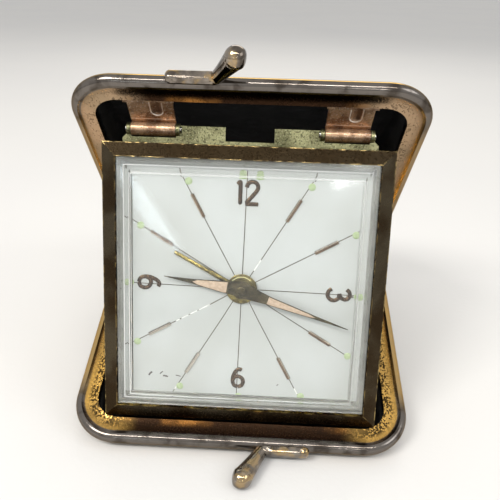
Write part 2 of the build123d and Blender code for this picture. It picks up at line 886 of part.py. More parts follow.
def at_centre(shape):
    x, y = dial_place(0, 0)
    return Pos(x, y, 0) * shape


def cannon_pinion():
    """The minute hand's tube, with the pinion that drives the minute wheel."""
    top = -minute_hand_depth
    low = minute_wheel_z
    tube = disc(cannon_outer, top - low, 0, 0, low)
    tube += Pos(0, 0, low) * gear(cannon_teeth, cannon_module, pinion_height, minute_wheel_angle)
    return at_centre(tube - disc(arbor_radius + tube_gap / 2, overrun * 3, 0, 0, low - overrun))


def minute_wheel():
    """The wheel that the minute pinion drives, with its own pinion under the hour wheel."""
    module = cannon_module
    phase = minute_wheel_angle + 180 + 180 / minute_wheel_teeth
    body = gear(minute_wheel_teeth, module, wheel_sheet, phase)
    top = alarm_wheel_z - wheel_gap / 2
    pinion = gear(minute_pinion_teeth, hour_module, top - minute_wheel_z, minute_wheel_angle + 180)
    body += pinion
    x, y = minute_wheel_place()
    body -= disc(post_pin_radius + running_gap, overrun * 2, 0, 0, -overrun)
    return Pos(x, y, minute_wheel_z) * body


def hour_wheel():
    """The hour hand's tube on its wheel."""
    phase = minute_wheel_angle + 180 / hour_wheel_teeth
    body = Pos(0, 0, hour_wheel_z) * gear(hour_wheel_teeth, hour_module, wheel_sheet, phase)
    body += disc(hour_outer, -hour_hand_depth - hour_wheel_z, 0, 0, hour_wheel_z)
    return at_centre(body - disc(hour_inner, overrun * 3, 0, 0, hour_wheel_z - overrun))


def alarm_wheel():
    """The alarm hand's tube on its wheel, next to the dial."""
    phase = alarm_set_angle + 180 / alarm_teeth
    body = Pos(0, 0, alarm_wheel_z) * gear(alarm_teeth, alarm_module, wheel_sheet, phase)
    body += disc(alarm_outer, -alarm_hand_depth - alarm_wheel_z, 0, 0, alarm_wheel_z)
    return at_centre(body - disc(alarm_inner, overrun * 3, 0, 0, alarm_wheel_z - overrun))


# The hands
def hand_outline(length, width, neck, hub):
    """A lance: narrow neck, widest near a third of the blade, then a long straight taper."""
    start = hub * hub_overlap_share
    widest = start + (length - start) * blade_widest_share
    right = [(neck / 2, start), (width / 2, widest), (hand_sheet / 2, length)]
    left = [(-x, y) for x, y in reversed(right)]
    return right + left


def hand(length, width, neck, hub, bore, depth, angle):
    blade = make_face(Polyline(*hand_outline(length, width, neck, hub), close=True))
    body = extrude(blade, amount=hand_sheet) + disc(hub, hand_sheet)
    body -= disc(bore, overrun, 0, 0, -overrun / 2)
    return at_centre(Pos(0, 0, -depth) * Rot(0, 0, -angle) * body)


def alarm_hand():
    length = dial_reach * alarm_hand_share
    bar = slab(alarm_hand_width, length - alarm_hub / 2, hand_sheet)
    bar = Pos(0, length / 2 + alarm_hub / 4, 0) * bar
    body = bar + disc(alarm_hub, hand_sheet) - disc(alarm_inner, overrun, 0, 0, -overrun / 2)
    return at_centre(Pos(0, 0, -alarm_hand_depth) * Rot(0, 0, -alarm_angle) * body)


def centre_arbor():
    """The steel arbor that carries the minute hand in front and the setting knob behind."""
    low = case_bottom(knob_lift + set_knob_height)
    top = -minute_hand_depth + hand_sheet
    arbor = disc(arbor_radius, top - low, 0, 0, low)
    cap = disc(cap_radius, cap_height, 0, 0, top)
    cap = fillet(cap.faces().sort_by(Axis.Z)[-1].edges(), cap_height * cap_round_share)
    return at_centre(arbor + cap)


# The movement
def plate_holes(z):
    """The arbor holes that both plates share."""
    low = z - overrun / 2
    x, y = dial_place(0, 0)
    holes = disc(arbor_radius + running_gap, overrun, x, y, low)
    x, y = alarm_set_place()
    holes += disc(set_arbor_radius + running_gap, overrun, x, y, low)
    for x, y in (time_barrel_place, alarm_barrel_place):
        holes += disc(key_arbor_radius + running_gap, overrun, x, y, low)
    for x, y in (third_place, regulator_place):
        holes += disc(pivot_radius + running_gap, overrun, x, y, low)
    return holes


def front_plate():
    """The plate behind the dial, with the post that the minute wheel turns on."""
    x, y = dial_place(0, 0)
    plate = disc(movement_radius, plate_thickness, x, y, front_plate_z) - plate_holes(front_plate_z)
    x, y = minute_wheel_place()
    rise = alarm_wheel_z - wheel_gap / 2 - front_plate_z - plate_thickness
    post = disc(post_pin_radius, rise, x, y, front_plate_z + plate_thickness)
    shoulder = minute_wheel_z - running_gap - front_plate_z - plate_thickness
    return plate + post + disc(post_pin_radius * 2, shoulder, x, y, front_plate_z + plate_thickness)


def back_plate():
    x, y = dial_place(0, 0)
    z = -back_plate_depth
    return disc(movement_radius, plate_thickness, x, y, z) - plate_holes(z)


def pillars():
    """The pillars that hold the two plates apart and tie the movement to the case."""
    low = -back_plate_depth + plate_thickness
    height = front_plate_z - low
    group = []
    for number in range(pillar_count):
        x, y = dial_place(pillar_circle, pillar_start + 360 / pillar_count * number)
        group.append(disc(pillar_radius, height, x, y, low))
    return group


def barrel_drum(radius):
    """A mainspring barrel: the drum, its lid's step and the hole for its arbor."""
    drum = disc(radius, barrel_height)
    drum += disc(radius * barrel_lid_share, wheel_gap, 0, 0, barrel_height)
    return drum - disc(key_arbor_radius + running_gap, overrun * 2, 0, 0, -overrun / 2)


def time_barrel():
    """The time barrel, with the toothed rim that turns the centre pinion."""
    x, y = time_barrel_place
    phase = time_barrel_angle + 180 + 180 / barrel_teeth
    rim = gear(barrel_teeth, barrel_module, wheel_sheet, phase)
    rim -= disc(barrel_module * barrel_teeth / 2 - wheel_sheet * 4, overrun, 0, 0, -overrun / 2)
    drum = barrel_drum(barrel_module * barrel_teeth / 2 - wheel_sheet * 3)
    return Pos(x, y, barrel_z) * (drum + rim)


def alarm_barrel():
    x, y = alarm_barrel_place
    return Pos(x, y, barrel_z) * barrel_drum(alarm_barrel_radius)


def centre_wheel():
    """The pinion that the barrel turns and the wheel that drives the third wheel, on the centre arbor."""
    wheel = Pos(0, 0, centre_wheel_z) * gear(
        centre_wheel_teeth, centre_module, wheel_sheet, third_angle + 180 / centre_wheel_teeth
    )
    height = barrel_z + wheel_sheet + wheel_gap - centre_wheel_z
    pinion = Pos(0, 0, centre_wheel_z) * gear(
        centre_pinion_teeth, barrel_module, height, time_barrel_angle
    )
    low = centre_wheel_z - overrun / 2
    return at_centre(wheel + pinion - disc(arbor_radius, overrun * 2, 0, 0, low))


def third_wheel():
    """The third wheel under the front plate, on its pinion and arbor."""
    x, y = third_place
    pinion_height = wheel_sheet + wheel_gap * 2
    pinion = gear(third_pinion_teeth, centre_module, pinion_height, third_angle + 180)
    module = centre_module * third_module_share
    wheel = gear(third_wheel_teeth, module, wheel_sheet, 0)
    low = -back_plate_depth
    arbor = disc(pivot_radius, front_plate_z + plate_thickness - low, 0, 0, low)
    body = arbor + Pos(0, 0, centre_wheel_z - wheel_gap) * pinion + Pos(0, 0, third_wheel_z) * wheel
    return Pos(x, y, 0) * body


def balance_wheel():
    """The balance: a rim, one bar across it and the staff with its hairspring's collet."""
    x, y = regulator_place
    radius = movement_radius * balance_radius_share
    rim = disc(radius, balance_thickness) - disc(radius - balance_rim, balance_thickness)
    bar = slab((radius - balance_rim / 2) * 2, balance_arm, balance_thickness)
    collet = disc(pivot_radius * 2, balance_thickness * 2)
    low = -back_plate_depth + plate_thickness / 2
    staff = disc(pivot_radius, front_plate_z + plate_thickness / 2 - low, 0, 0, low)
    return Pos(x, y, 0) * (staff + Pos(0, 0, balance_z) * (rim + bar + collet))


def balance_cock():
    """The bridge over the balance, on a foot beside it."""
    x, y = regulator_place
    radius = movement_radius * balance_radius_share
    reach = radius + cock_foot_radius + wheel_gap * 2
    top = balance_z + balance_thickness * 2 + wheel_gap
    foot_height = top + cock_thickness - back_plate_top
    foot = disc(cock_foot_radius, foot_height, -reach, 0, back_plate_top)
    bridge = slab(reach, cock_width, cock_thickness, -reach / 2, 0, top)
    bridge += disc(cock_width / 2, cock_thickness, 0, 0, top)
    hole = disc(pivot_radius + running_gap, overrun, 0, 0, top - overrun / 4)
    return Pos(x, y, 0) * (foot + bridge - hole)


def winding_key(place):
    """A folded wing key on its arbor, which reaches through the plates."""
    low = case_bottom(key_height)
    top = front_plate_z + plate_thickness
    arbor = disc(key_arbor_radius, top - low, 0, 0, low)
    collar_low = -case_depth - key_collar_height - knob_lift
    collar = disc(key_collar_radius, key_collar_height, 0, 0, collar_low)
    wing_height = key_height * key_wing_share
    wing = RectangleRounded(key_width, wing_height, key_height * key_corner_share)
    wing = extrude(Plane.XZ * wing, amount=key_thickness / 2, both=True)
    wing = Pos(0, 0, low + wing_height / 2) * wing
    return Pos(*place, 0) * (arbor + collar + wing)


def knurled_knob(radius, height):
    """A flat setting knob with a notched rim."""
    knob = disc(radius, height)
    knob = fillet(knob.faces().sort_by(Axis.Z)[0].edges(), height * knob_round_share)
    for number in range(knob_notches):
        turn = 2 * pi * number / knob_notches
        knob -= disc(notch_radius, height, radius * cos(turn), radius * sin(turn))
    return knob


def time_set_knob():
    knob = knurled_knob(set_knob_radius, set_knob_height) - disc(arbor_radius, set_knob_height)
    return at_centre(Pos(0, 0, case_bottom(knob_lift + set_knob_height)) * knob)


def alarm_set_knob():
    """The alarm's knob, its arbor and the pinion that turns the alarm wheel."""
    x, y = alarm_set_place()
    low = case_bottom(knob_lift + set_knob_height)
    body = Pos(0, 0, low) * knurled_knob(set_knob_radius, set_knob_height)
    top = alarm_wheel_z + wheel_sheet
    body += disc(set_arbor_radius, top - low, 0, 0, low)
    pinion_low = alarm_wheel_z - wheel_gap / 2
    pinion = gear(alarm_pinion_teeth, alarm_module, top - pinion_low, alarm_set_angle + 180)
    return Pos(x, y, 0) * (body + Pos(0, 0, pinion_low) * pinion)


def alarm_stop_button():
    """A push button in the back, with the collar that keeps it in."""
    x, y = stop_place
    low = case_bottom(stop_lift)
    button = disc(stop_radius, stop_length, 0, 0, low)
    button = fillet(button.faces().sort_by(Axis.Z)[0].edges(), stop_radius * stop_round_share)
    collar = disc(stop_collar, stop_collar_height, 0, 0, -case_depth + cover_sheet + seam_gap)
    return Pos(x, y, 0) * (button + collar)


def regulator():
    """The fast-slow lever: a hub on the back plate and a pointer that ends in the slot."""
    x, y = regulator_place
    low = -case_depth + cover_sheet + seam_gap * 2
    top = -back_plate_depth - seam_gap
    arm = slab(regulator_width, regulator_radius, top - low, 0, regulator_radius / 2, low)
    tip = disc(regulator_width / 2, cover_sheet + seam_gap * 2, 0, regulator_radius, -case_depth)
    body = arm + disc(regulator_hub, top - low, 0, 0, low) + tip
    body += disc(regulator_width / 2, top - low, 0, regulator_radius, low)
    return Pos(x, y, 0) * body


def group(solids):
    return Compound(children=list(solids))


half_x = bracket_spacing / 2
pieces = {
    "front_frame": in_front(purse_frame(front_ear_inset, rivet_radius)),
    "rear_frame": in_rear(purse_frame(0.0, rivet_radius + running_gap)),
    "front_clasp": in_front(clasp(front_ball_x, 1)),
    "rear_clasp": in_rear(clasp(rear_ball_x, -1)),
    "front_leather": in_front(leather_half()),
    "rear_leather": in_rear(leather_half()),
    "front_lining": in_front(lining_half()),
    "rear_lining": in_rear(lining_half()),
    "hinge_rivets": group(in_front(rivet) for rivet in hinge_rivets()),
    "left_hinge_bracket": in_rear(hinge_bracket(-half_x)),
    "right_hinge_bracket": in_rear(hinge_bracket(half_x)),
    "hinge_plate": in_clock(hinge_plate()),
    "clock_hinge_pins": group(in_clock(pin) for pin in clock_pins()),
    "bezel": in_clock(bezel()),
    "crystal": in_clock(crystal()),
    "dial_surround": in_clock(dial_surround()),
    "dial": in_clock(dial()),
    "centre_boss": in_clock(centre_boss()),
    "hour_batons": group(in_clock(bar) for bar in hour_batons()),
    "clock_case": in_clock(clock_case()),
    "back_cover": in_clock(back_cover()),
    "cover_screws": group(in_clock(screw) for screw in cover_screws()),
    "movement_front_plate": in_clock(front_plate()),
    "movement_back_plate": in_clock(back_plate()),
    "plate_pillars": group(in_clock(pillar) for pillar in pillars()),
    "time_barrel": in_clock(time_barrel()),
    "alarm_barrel": in_clock(alarm_barrel()),
    "centre_wheel": in_clock(centre_wheel()),
    "third_wheel": in_clock(third_wheel()),
    "balance_wheel": in_clock(balance_wheel()),
    "balance_cock": in_clock(balance_cock()),
    "centre_arbor": in_clock(centre_arbor()),
    "cannon_pinion": in_clock(cannon_pinion()),
    "minute_hand": in_clock(
        hand(
            dial_reach * minute_hand_share,
            minute_hand_width,
            hand_neck_width,
            minute_hub,
            arbor_radius,
            minute_hand_depth,
            minute_angle,
        )
    ),
    "time_set_knob": in_clock(time_set_knob()),
    "minute_wheel": in_clock(minute_wheel()),
    "hour_wheel": in_clock(hour_wheel()),
    "hour_hand": in_clock(
        hand(
            dial_reach * hour_hand_share,
            hour_hand_width,
            hand_neck_width,
            hour_hub,
            hour_inner,
            hour_hand_depth,
            hour_angle,
        )
    ),
    "alarm_wheel": in_clock(alarm_wheel()),
    "alarm_hand": in_clock(alarm_hand()),
    "alarm_set_knob": in_clock(alarm_set_knob()),
    "time_winding_key": in_clock(winding_key(time_barrel_place)),
    "alarm_winding_key": in_clock(winding_key(alarm_barrel_place)),
    "alarm_stop_button": in_clock(alarm_stop_button()),
    "regulator_lever": in_clock(regulator()),
}

os.makedirs("parts", exist_ok=True)
for node, shape in pieces.items():
    export_step(shape, f"parts/{node}.step")
print("case hinge at", 0, round(hinge_line[0] - face_y, 3), round(hinge_line[1], 3))
print("clock hinge at", 0, round(pin_line[0] - face_y, 3), round(pin_line[1], 3))
print("face centre height", round(face_z, 3), "lean back", round(lean_back, 3))
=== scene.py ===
import bmesh
import bpy
import json
import math
import numpy as np
from mathutils import Matrix, Vector, noise
from mathutils.bvhtree import BVHTree
from mathutils.kdtree import KDTree


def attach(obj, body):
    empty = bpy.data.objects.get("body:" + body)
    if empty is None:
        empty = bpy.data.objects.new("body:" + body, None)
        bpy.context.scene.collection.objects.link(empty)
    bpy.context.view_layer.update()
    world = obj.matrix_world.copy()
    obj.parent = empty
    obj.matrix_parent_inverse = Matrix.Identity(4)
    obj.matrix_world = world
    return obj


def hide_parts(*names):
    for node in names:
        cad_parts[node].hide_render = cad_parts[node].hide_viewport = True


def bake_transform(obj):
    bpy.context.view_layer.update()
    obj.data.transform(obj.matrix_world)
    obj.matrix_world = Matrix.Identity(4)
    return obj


# Folding travel clock in a purse case. Lengths in the dictionaries are millimetres, angles are degrees.
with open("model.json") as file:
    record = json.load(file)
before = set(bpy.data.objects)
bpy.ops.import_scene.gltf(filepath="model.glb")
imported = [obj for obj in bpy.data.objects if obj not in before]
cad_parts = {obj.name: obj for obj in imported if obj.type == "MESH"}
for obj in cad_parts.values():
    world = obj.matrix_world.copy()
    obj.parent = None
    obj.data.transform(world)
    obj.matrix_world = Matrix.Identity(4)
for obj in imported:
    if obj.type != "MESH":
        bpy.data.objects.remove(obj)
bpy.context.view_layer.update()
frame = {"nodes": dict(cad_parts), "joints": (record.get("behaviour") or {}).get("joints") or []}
cad = frame["nodes"]
joints = {joint["name"]: joint for joint in frame["joints"]}
print("loaded", len(cad), "nodes")

mm = 0.001  # metres
hingeLine = Vector(joints["case_close"]["pos_m"])
shutAngle = joints["case_close"]["range_deg"][1]
tilts = {"clock": 73.242, "front": 18.8, "rear": -55.3, "table": 0}


# The three planes that the parts were drawn in: the clock's face and the mouth of each purse half
def tiltedPlane(name, y, z):
    tilt = Matrix.Rotation(math.radians(tilts[name]), 4, "X")
    return Matrix.Translation((0, y * mm, z * mm)) @ tilt


planes = {
    "clock": tiltedPlane("clock", 0, 34.759),
    "front": tiltedPlane("front", -14.075, 4.1),
    "rear": tiltedPlane("rear", 9.40, 75.28),
    "table": tiltedPlane("table", 0, 0),
}


def addObject(name, data):
    made = bpy.data.objects.new(name, data)
    bpy.context.scene.collection.objects.link(made)
    return made


# Shader building
def operator(operation, flipped=False):  # a method of Wire that adds one math node
    def apply(self, other=0.0):
        return self.maths(operation, *((other, self) if flipped else (self, other)))

    return apply


class Wire:  # one output socket, so that masks can be written as plain sums and products
    def __init__(self, finish, socket):
        self.finish = finish
        self.socket = socket

    def maths(self, operation, first, second=0.0):
        return self.finish.node("Math", {"operation": operation}, {0: first, 1: second})

    __add__ = __radd__ = operator("ADD")
    __sub__ = operator("SUBTRACT")
    __rsub__ = operator("SUBTRACT", flipped=True)
    __mul__ = __rmul__ = operator("MULTIPLY")
    __truediv__ = operator("DIVIDE")
    __abs__ = operator("ABSOLUTE")
    atLeast = operator("MAXIMUM")
    atMost = operator("MINIMUM")

    def above(self, edge, soft):  # 0 below the edge, 1 past edge + soft
        sockets = {0: self, 1: edge, 2: edge + soft, 3: 0.0, 4: 1.0}
        return self.finish.node("MapRange", {"interpolation_type": "SMOOTHSTEP"}, sockets)

    def below(self, edge, soft):
        return 1 - self.above(edge - soft, soft)


class Finish:  # one material, or the world, and the nodes in it
    def __init__(self, name, plane=None, world=None):
        self.owner = world or bpy.data.materials.new(name)
        self.owner.use_nodes = True
        self.tree = self.owner.node_tree
        self.tree.nodes.clear()
        self.plane = plane
        self.at = self.place((1, 1, 1)) if plane else None

    def node(self, kind, settings=None, sockets=None, out=0):
        made = self.tree.nodes.new("ShaderNode" + kind)
        for key, value in (settings or {}).items():
            setattr(made, key, value)
        for key, value in (sockets or {}).items():
            if isinstance(value, Wire):
                self.tree.links.new(value.socket, made.inputs[key])
            else:
                made.inputs[key].default_value = value
        return Wire(self, made.outputs[out]) if len(made.outputs) else None

    def place(self, stretch):  # millimetres in its plane
        origin, turn, _ = planes[self.plane].decompose()
        scale = [mm * s for s in stretch]
        sockets = {"Vector": self.node("TexCoord", out=3), "Location": origin, "Scale": scale}  # 3: Object
        sockets["Rotation"] = turn.to_euler()
        return self.node("Mapping", {"vector_type": "TEXTURE"}, sockets)

    def parts(self, vector=None):
        split = self.node("SeparateXYZ", None, {0: vector or self.at}).socket.node
        return [Wire(self, out) for out in split.outputs]

    def length(self, first, second):  # of the two sides of a right angle
        squared = first * first + second * second
        return squared.maths("SQRT", squared)

    def noise(self, scale, detail, warp=0.0, stretch=None):
        at = self.place(stretch) if stretch else self.at
        sockets = {"Vector": at, "Scale": scale, "Detail": detail, "Distortion": warp}
        return self.node("TexNoise", None, sockets)

    def blend(self, share, first, second):
        colours = [c if isinstance(c, Wire) else (*c, 1) for c in (first, second)]
        sockets = {0: share, 6: colours[0], 7: colours[1]}
        return self.node("Mix", {"data_type": "RGBA"}, sockets, out=2)  # 2: the colour

    def layers(self, colour, *coats):  # each coat is a share and its colour, laid over what is there
        for share, tone in coats:
            colour = self.blend(share, colour, tone)
        return colour

    def bump(self, height):  # height in millimetres
        return self.node("Bump", None, {"Height": height, "Distance": mm, "Strength": 1.0})

    def shader(self, **sockets):
        named = {key.replace("_", " "): value for key, value in sockets.items()}
        for key in ("Base Color", "Specular Tint"):
            if key in named and not isinstance(named[key], Wire):
                named[key] = (*named[key], 1)
        return self.node("BsdfPrincipled", None, named)

    def coated(self, colour, rough, height, **more):  # the material, once its surface is known
        surface = self.shader(Base_Color=colour, Roughness=rough, Normal=self.bump(height), **more)
        return self.done(surface)

    def rays(self, *kinds):  # 1 for rays of these kinds
        outputs = self.node("LightPath").socket.node.outputs
        asked, *others = [Wire(self, outputs["Is " + kind + " Ray"]) for kind in kinds]
        for other in others:
            asked = asked.atLeast(other)
        return asked

    def done(self, surface, kind="Material"):
        self.node("Output" + kind, None, {0: surface})
        return self.owner


def cover(mesh, material):
    mesh.materials.clear()
    mesh.materials.append(material)


def dress(material, *names):  # puts a material on CAD nodes
    for name in names:
        cover(cad[name].data, material)


def shadeSmooth(mesh, angle=35):
    mesh.shade_smooth()
    mesh.set_sharp_from_angle(angle=math.radians(angle))


# Metals
plateUsual = {  # what a plate's look has unless it says otherwise; its scales: cloud, grain and spots
    "toneEdge": 0.38, "toneSoft": 0.24, "spotSoft": 0.12, "fleckEdge": 0.58, "fleckSoft": 0.10,
    "fleckSize": 2.3, "spotShare": 0.4, "fleckShare": 0.15, "roughSpread": 0.2, "spotRough": 0.2,
    "metallic": 1.0, "grainDepth": 0.008, "spotDepth": 0.005, "fleckDepth": 0.5, "stretch": (1, 1, 1),
}


def plainMetal(name, ownLook, plane="clock", marks=None):  # marks paints highlight and shade where the plate is bent or pressed
    look = {**plateUsual, **ownLook}
    finish = Finish(name, plane)
    cloudScale, grainScale, spotScale = look["scales"]
    cloud = finish.noise(cloudScale, 4).above(look["toneEdge"], look["toneSoft"])
    grain = finish.noise(grainScale, 4, stretch=look["stretch"])
    spots = finish.noise(spotScale, 6, 0.4).above(look["spotEdge"], look["spotSoft"])
    flecks = finish.noise(spotScale * look["fleckSize"], 5, 0.3)
    flecks = flecks.above(look["fleckEdge"], look["fleckSoft"])
    coats = (cloud, look["tone"]), (spots * look["spotShare"], look["spot"])
    colour = finish.layers(look["base"], *coats, (flecks * look["fleckShare"], look["fleck"]))
    if marks:
        colour = marks(finish, colour)
    rough = look["rough"] + (grain - 0.5) * look["roughSpread"] + spots * look["spotRough"]
    height = grain * look["grainDepth"] - spots * look["spotDepth"]
    height += flecks * look["grainDepth"] * look["fleckDepth"]
    return finish.coated(colour, rough, height, Metallic=look["metallic"])


bracketLook = {  # the bend, and the pressed groove of each bracket: a painted highlight along the bend and on the groove's edge, painted shade inside the groove
    "bend": 11.7, "bendWidth": 0.25, "bendHighlight": 0.8,
    "side": 20.9, "shift": 1.15, "from": 7.1, "to": 9.33, "radius": 1.3,
    # painted highlight and painted shade colours for the bend and the groove
    "paintedHighlight": (1.0, 0.90, 0.80), "shade": (0.13, 0.07, 0.04),
}


def bracketPaintedLight(finish, colour):
    look = bracketLook
    x, s = finish.parts()[:2]
    # painted highlight: a bright line along the bend
    bend = abs(s - look["bend"]).below(look["bendWidth"], 0.3)
    colour = finish.blend(bend * look["bendHighlight"], colour, plateLooks["copperPlate"]["fleck"])
    for middle in (-look["side"] + look["shift"], look["side"] + look["shift"]):
        across = x - middle
        beyond = (s - look["to"]).atLeast(look["from"] - s).atLeast(0)
        away = finish.length(across, beyond)
        # painted shade inside each groove, darker on one side, and a painted highlight on its edge,
        # brighter on the other side
        inside = away.below(look["radius"] - 0.1, 0.2)
        edge = abs(away - look["radius"]).below(0.2, 0.16)
        colour = finish.blend(inside * (0.35 + across.above(-0.2, 0.6) * 0.6), colour, look["shade"])
        colour = finish.blend(edge * (0.6 + across.below(0.3, 0.5) * 0.4), colour, look["paintedHighlight"])
    return colour


plateLooks = {
    "speckledBrass": {
        "base": (0.17, 0.165, 0.085), "tone": (0.38, 0.37, 0.20), "spot": (0.045, 0.045, 0.022),
        "fleck": (0.78, 0.77, 0.50), "scales": (0.12, 3.2, 2.2), "spotEdge": 0.50, "spotShare": 0.75,
        "fleckShare": 0.6, "rough": 0.36, "roughSpread": 0.25, "grainDepth": 0.035, "spotDepth": 0.02,
    },
    # the near-white flecks on the copper are painted glints
    "copperPlate": {
        "base": (0.26, 0.145, 0.080), "tone": (0.56, 0.36, 0.22), "spot": (0.05, 0.025, 0.015),
        "fleck": (1.0, 0.90, 0.78), "scales": (0.35, 2.4, 1.7), "spotEdge": 0.56, "spotShare": 0.6,
        "fleckShare": 0.45, "fleckEdge": 0.56, "rough": 0.32, "roughSpread": 0.25, "grainDepth": 0.05,
        "spotDepth": 0.03, "fleckDepth": 0.0, "metallic": 0.7,
    },
    # gold spots on the nickel: worn-through brass, and painted warm reflections
    "nickelWearAndReflection": {
        "base": (0.10, 0.083, 0.067), "tone": (0.25, 0.215, 0.18), "spot": (0.60, 0.39, 0.13),
        "fleck": (0.62, 0.58, 0.52), "scales": (0.3, 1.2, 0.35), "spotEdge": 0.52, "rough": 0.09,
        "roughSpread": 0.06, "spotRough": 0.02, "grainDepth": 0.002, "spotDepth": 0.0005,
    },
    "gilt": {
        "base": (0.11, 0.092, 0.036), "tone": (0.30, 0.255, 0.105), "spot": (0.04, 0.03, 0.015),
        "fleck": (0.80, 0.73, 0.42), "scales": (0.6, 4.0, 1.2), "spotEdge": 0.60, "spotShare": 0.5,
        "fleckShare": 0.2, "rough": 0.22,
    },
    "giltHands": {
        "base": (0.050, 0.041, 0.022), "tone": (0.11, 0.090, 0.048), "spot": (0.02, 0.016, 0.010),
        "fleck": (0.42, 0.35, 0.20), "scales": (0.5, 3.0, 1.2), "spotEdge": 0.58, "spotShare": 0.5,
        "fleckShare": 0.3, "rough": 0.30,
    },
    "caseBrass": {
        "base": (0.30, 0.235, 0.10), "tone": (0.42, 0.335, 0.15), "spot": (0.10, 0.07, 0.035),
        "fleck": (0.58, 0.48, 0.26), "scales": (0.10, 1.2, 0.5), "spotEdge": 0.58, "spotShare": 0.6,
        "fleckShare": 0.2, "rough": 0.32, "roughSpread": 0.22, "grainDepth": 0.010, "spotDepth": 0.006,
        "stretch": (1, 14, 1),
    },
    "brightBrass": {
        "base": (0.62, 0.48, 0.20), "tone": (0.74, 0.60, 0.29), "spot": (0.30, 0.22, 0.10),
        "fleck": (0.80, 0.68, 0.40), "scales": (0.2, 1.6, 0.9), "spotEdge": 0.66, "fleckShare": 0.1,
        "rough": 0.28, "roughSpread": 0.18, "spotDepth": 0.004, "stretch": (1, 10, 1),
    },
    "turnedSteel": {
        "base": (0.42, 0.41, 0.38), "tone": (0.54, 0.52, 0.48), "spot": (0.20, 0.16, 0.12),
        "fleck": (0.66, 0.64, 0.60), "scales": (0.3, 2.2, 1.0), "spotEdge": 0.62, "rough": 0.24,
        "roughSpread": 0.18,
    },
    "satinNickel": {
        "base": (0.25, 0.25, 0.22), "tone": (0.34, 0.335, 0.30), "spot": (0.11, 0.095, 0.07),
        "fleck": (0.50, 0.50, 0.45), "scales": (0.15, 1.8, 0.7), "spotEdge": 0.60, "rough": 0.30,
        "roughSpread": 0.14, "grainDepth": 0.006, "spotDepth": 0.003,
    },
}
metalNodes = {
    "speckledBrass": ["hinge_plate"],
    "gilt": ["centre_boss"],
    "giltHands": ["minute_hand", "hour_hand", "alarm_hand", "centre_arbor"],
    "caseBrass": ["clock_case", "back_cover"],
    "brightBrass": [
        "movement_front_plate", "movement_back_plate", "time_barrel", "alarm_barrel", "centre_wheel",
        "third_wheel", "balance_wheel", "cannon_pinion", "minute_wheel", "hour_wheel", "alarm_wheel",
    ],
    "turnedSteel": [
        "clock_hinge_pins", "cover_screws", "plate_pillars", "balance_cock", "time_set_knob",
        "alarm_set_knob", "time_winding_key", "alarm_winding_key", "alarm_stop_button", "regulator_lever",
    ],
    "satinNickel": ["dial_surround"],
}
metals = {}
for lookName, nodeNames in metalNodes.items():
    metals[lookName] = plainMetal(lookName, plateLooks[lookName])
    dress(metals[lookName], *nodeNames)
copper = plainMetal("copperPlate", plateLooks["copperPlate"], "rear", bracketPaintedLight)
dress(copper, "left_hinge_bracket", "right_hinge_bracket")
dress(plainMetal("nickelWearAndReflectionFront", plateLooks["nickelWearAndReflection"], "front"), "front_clasp", "hinge_rivets")
dress(plainMetal("nickelWearAndReflectionRear", plateLooks["nickelWearAndReflection"], "rear"), "rear_clasp")
weldDistance = 0.001 * mm
claspLook = {"fuller": 0.40, "share": 0.38}  # millimetres outwards, and share of the room left when shut


def fullerClasp(node, other, body, turn):  # its CAD form grown outwards, less where the other passes
    rotation = Matrix.Rotation(math.radians(turn), 4, "X")
    swing = Matrix.Translation(hingeLine) @ rotation @ Matrix.Translation(-hingeLine)
    passing = KDTree(len(cad[other].data.vertices))
    for i, vertex in enumerate(cad[other].data.vertices):
        passing.insert(swing @ vertex.co, i)
    passing.balance()
    skin = bmesh.new()
    skin.from_mesh(cad[node].data)
    bmesh.ops.remove_doubles(skin, verts=skin.verts, dist=weldDistance)
    skin.normal_update()
    pushes = []
    for vertex in skin.verts:
        room = passing.find(vertex.co)[2]
        pushes.append(vertex.normal * min(claspLook["fuller"] * mm, claspLook["share"] * room))
    for vertex, push in zip(skin.verts, pushes):
        vertex.co += push
        vertex.co.z = max(vertex.co.z, 0.0)  # not into the table
    mesh = bpy.data.meshes.new(node + "Skin")
    skin.to_mesh(mesh)
    skin.free()
    shadeSmooth(mesh)
    cover(mesh, cad[node].data.materials[0])
    piece = addObject(node + "Skin", mesh)
    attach(piece, body)
    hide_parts(node)


fullerClasp("front_clasp", "rear_clasp", "front_half", shutAngle)
fullerClasp("rear_clasp", "front_clasp", "rear_half", -shutAngle)
print("plain metals and clasps done")

# The purse frames: nickel on the rolled rim, worn through to brass on its outer side, and a flat
# band that is brown behind the middle of the bar and gold or champagne towards the legs, with a
# painted highlight along the band's edge next to the rim
frameLook = {
    "halfWidth": 38.0, "corner": 10.7, "rim": 2.15, "barEnd": 9.0, "lipWidth": 2.6, "glowFrom": 3.4,
    "sideDepth": 1.75, "sideWidth": 1.1,
    "nickel": (0.16, 0.142, 0.127), "nickelDull": (0.070, 0.058, 0.048),
    "brassLine": (0.62, 0.43, 0.17), "giltRim": (0.60, 0.39, 0.14),
    "brown": (0.034, 0.017, 0.009), "glow": (0.30, 0.13, 0.032), "pit": (0.010, 0.008, 0.006),
    "slant": (0.62, 0.54, 0.44), "rough": 0.15, "bandRough": 0.08, "pitRough": 0.30,
    # lip and lipTone paint a highlight along the band's edge next to the rim
    "front": {"leg": (0.86, 0.51, 0.13), "legFar": (0.58, 0.35, 0.10), "pits": 0.93, "pitEdge": 0.475,
              "darkMiddle": 30.0, "lip": 0.7, "lipTone": (0.92, 0.62, 0.22), "gilded": 0.9},
    "rear": {"leg": (0.46, 0.31, 0.19), "legFar": (0.33, 0.235, 0.145), "pits": 0.45, "pitEdge": 0.55,
             "darkMiddle": 28.0, "lip": 0.3, "lipTone": (0.60, 0.43, 0.26), "gilded": 0.45},
}


